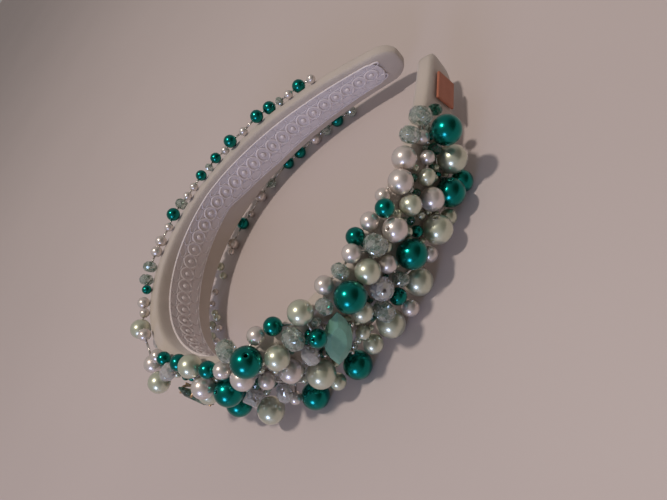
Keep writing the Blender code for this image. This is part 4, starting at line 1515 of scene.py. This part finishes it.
class TIARA_OT_seed_beads(bpy.types.Operator):
    """Scatter seed beads between the larger ones on the band's outer face"""

    bl_idname = "tiara.seed_beads"
    bl_label = "Seed beads"

    def execute(self, context):
        settings = context.scene.tiara_beads
        for kind, beads in self.scattered(settings.seed).items():
            mesh = bead_mesh(kind, SEED_DETAIL)
            beads = [(centre, radius, hole_direction(None, 0, centre)) for centre, radius in beads]
            copied_beads(f"seed_{kind}_beads", kind, mesh, beads, settings)
        return {"FINISHED"}

    def scattered(self, seed):
        """Centre and radius of every seed bead that finds room, by kind."""
        taken = [(Vector(centre), bead.size / 2) for _, bead, centre in places()]
        for stone in STONES:
            taken += [(Vector(point), radius) for point, radius in stone_room(stone)]
        chance = np.random.default_rng(seed)
        chosen = {}
        for zone in SEED_ZONES:
            for _ in range(zone.tries):
                along = chance.uniform(zone.start, zone.end)
                half = band_width(along) / 2
                radius = chance.uniform(zone.small, zone.large)
                across = chance.uniform(-half, half - zone.margin)
                centre = Vector(place(along, across, THICKNESS / 2 + SEED_LIFT + radius))
                if zone.low:
                    centre = Vector(place(along, 0.0, chance.uniform(*SEED_FLOOR_OUT)))
                    centre.z = radius + chance.uniform(SEED_LIFT, zone.low)
                blocked = any((centre - other).length < radius + size for other, size in taken)
                if blocked or centre.z < radius:
                    continue
                kind = zone.kinds[int(chance.integers(len(zone.kinds)))]
                taken.append((centre, radius))
                chosen.setdefault(kind, []).append((centre, radius))
        return chosen


class TIARA_OT_wires(bpy.types.Operator):
    """Build the silver wire that carries the strung beads"""

    bl_idname = "tiara.wires"
    bl_label = "Wires"

    def execute(self, context):
        material = metal_material("Silver wire", (0.62, 0.58, 0.55), (0.80, 0.77, 0.73), 0.22)
        all_beads, strings = strung()
        for string in strings:
            beads = [
                (in_frame(centre), bead.size / 2 * MM)
                for node, bead, centre in all_beads
                if node == string
            ]
            shape = merged_copy(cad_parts[string].data)
            inside = [
                face
                for face in shape.faces
                if any((face.calc_center_median() - middle).length < radius for middle, radius in beads)
            ]
            bmesh.ops.delete(shape, geom=inside, context="FACES")
            bmesh.ops.holes_fill(shape, edges=shape.edges, sides=0)
            name = string.replace("_string", "_wire")
            new_piece(name, mesh_of(shape, string), material, "strung_pearls", [string])
        return {"FINISHED"}


class TIARA_OT_stones(bpy.types.Operator):
    """Build the two cut stones and their claw settings"""

    bl_idname = "tiara.stones"
    bl_label = "Cut stones"

    def execute(self, context):
        milky = glass_material(
            "Milky green glass", (0.19, 0.44, 0.33), (0.26, 0.54, 0.41), 0.22, 0.3, facets=0
        )
        # The clear stone's dark and light tones are painted on its small facets as sparkle, standing in for
        # glints and dark reflections
        clear = glass_material(
            "Clear green glass", (0.03, 0.14, 0.10), (0.30, 0.50, 0.40), 0.02, 0.85, facets=500.0
        )
        silver = metal_material("Setting silver", (0.60, 0.55, 0.50), (0.78, 0.72, 0.66), 0.25)
        gold = metal_material("Setting gold", (0.45, 0.29, 0.17), (0.66, 0.46, 0.29), 0.25)
        finishes = {
            "frosted": ((milky, "frosted_glass"), (silver, "silver_metal")),
            "clear": ((clear, "green_glass"), (gold, "gold_metal")),
        }
        for stone in STONES:
            glass, metal = finishes[stone.name]
            self.stone(stone, *glass)
            self.setting(stone, *metal)
        return {"FINISHED"}

    def stone(self, stone, material, slot):
        matrix = stone_frame(stone)
        shape = bmesh.new()
        rings = []
        for height, share, half in STONE_LEVELS:
            outline = navette(stone.length, stone.width, share, STONE_SIDES * 2)[half::2]
            rings.append([shape.verts.new(in_frame(matrix @ Vector((x, y, height)))) for x, y in outline])
        for low, high, a, b in zip(rings, rings[1:], STONE_LEVELS, STONE_LEVELS[1:]):
            stitch(shape, low, high, b[2] - a[2])
        shape.faces.new(rings[0])
        shape.faces.new(rings[-1])
        mesh = mesh_of(shape, "stone")
        new_piece(f"{stone.name}_stone_cut", mesh, material, slot, [f"{stone.name}_stone"], smooth=False)

    def setting(self, stone, material, slot):
        matrix = stone_frame(stone)
        outline = navette(stone.length, stone.width, SETTING_SHARE, STONE_SIDES * 2)
        levels = ((-PLATE, 0.94), (-PLATE + 0.15, 1.0), (-0.15, 1.0), (0.0, 0.94))
        sections = []
        for z, share in levels:
            sections.append([in_frame(matrix @ Vector((x * share, y * share, z))) for x, y in outline])
        meshes = [loft_mesh(sections)]
        for points, radius in setting_wires(stone):
            meshes.append(tube_mesh([in_frame(point) for point in points], radius * MM))
        new_piece(f"{stone.name}_claws", joined(meshes), material, slot, [f"{stone.name}_setting"])


OPERATORS = (
    TIARA_OT_stage,
    TIARA_OT_band,
    TIARA_OT_braid,
    TIARA_OT_label,
    TIARA_OT_single_beads,
    TIARA_OT_strung_beads,
    TIARA_OT_seed_beads,
    TIARA_OT_wires,
    TIARA_OT_stones,
)
SETTINGS = {
    "tiara_band": BandSettings,
    "tiara_braid": BraidSettings,
    "tiara_beads": BeadSettings,
    "tiara_stage": StageSettings,
}


class TIARA_PT_panel(bpy.types.Panel):
    """Lists the tiara's settings and the steps that build it"""

    bl_label = "Pearl Tiara"
    bl_idname = "TIARA_PT_panel"
    bl_space_type = "VIEW_3D"
    bl_region_type = "UI"
    bl_category = "Tiara"

    def draw(self, context):
        for name, group in SETTINGS.items():
            box = self.layout.box()
            for field in group.__annotations__:
                box.prop(getattr(context.scene, name), field)
        for operator in OPERATORS:
            self.layout.operator(operator.bl_idname)


def register():
    for name, group in SETTINGS.items():
        bpy.utils.register_class(group)
        setattr(bpy.types.Scene, name, bpy.props.PointerProperty(type=group))
    for operator in OPERATORS:
        bpy.utils.register_class(operator)
    bpy.utils.register_class(TIARA_PT_panel)


def unregister():
    bpy.utils.unregister_class(TIARA_PT_panel)
    for operator in reversed(OPERATORS):
        bpy.utils.unregister_class(operator)
    for name, group in SETTINGS.items():
        delattr(bpy.types.Scene, name)
        bpy.utils.unregister_class(group)


def main():
    register()
    bpy.ops.tiara.stage()
    bpy.ops.tiara.band()
    bpy.ops.tiara.braid()
    bpy.ops.tiara.label()
    bpy.ops.tiara.single_beads()
    bpy.ops.tiara.strung_beads()
    bpy.ops.tiara.seed_beads()
    bpy.ops.tiara.wires()
    bpy.ops.tiara.stones()


if __name__ == "__main__":
    main()
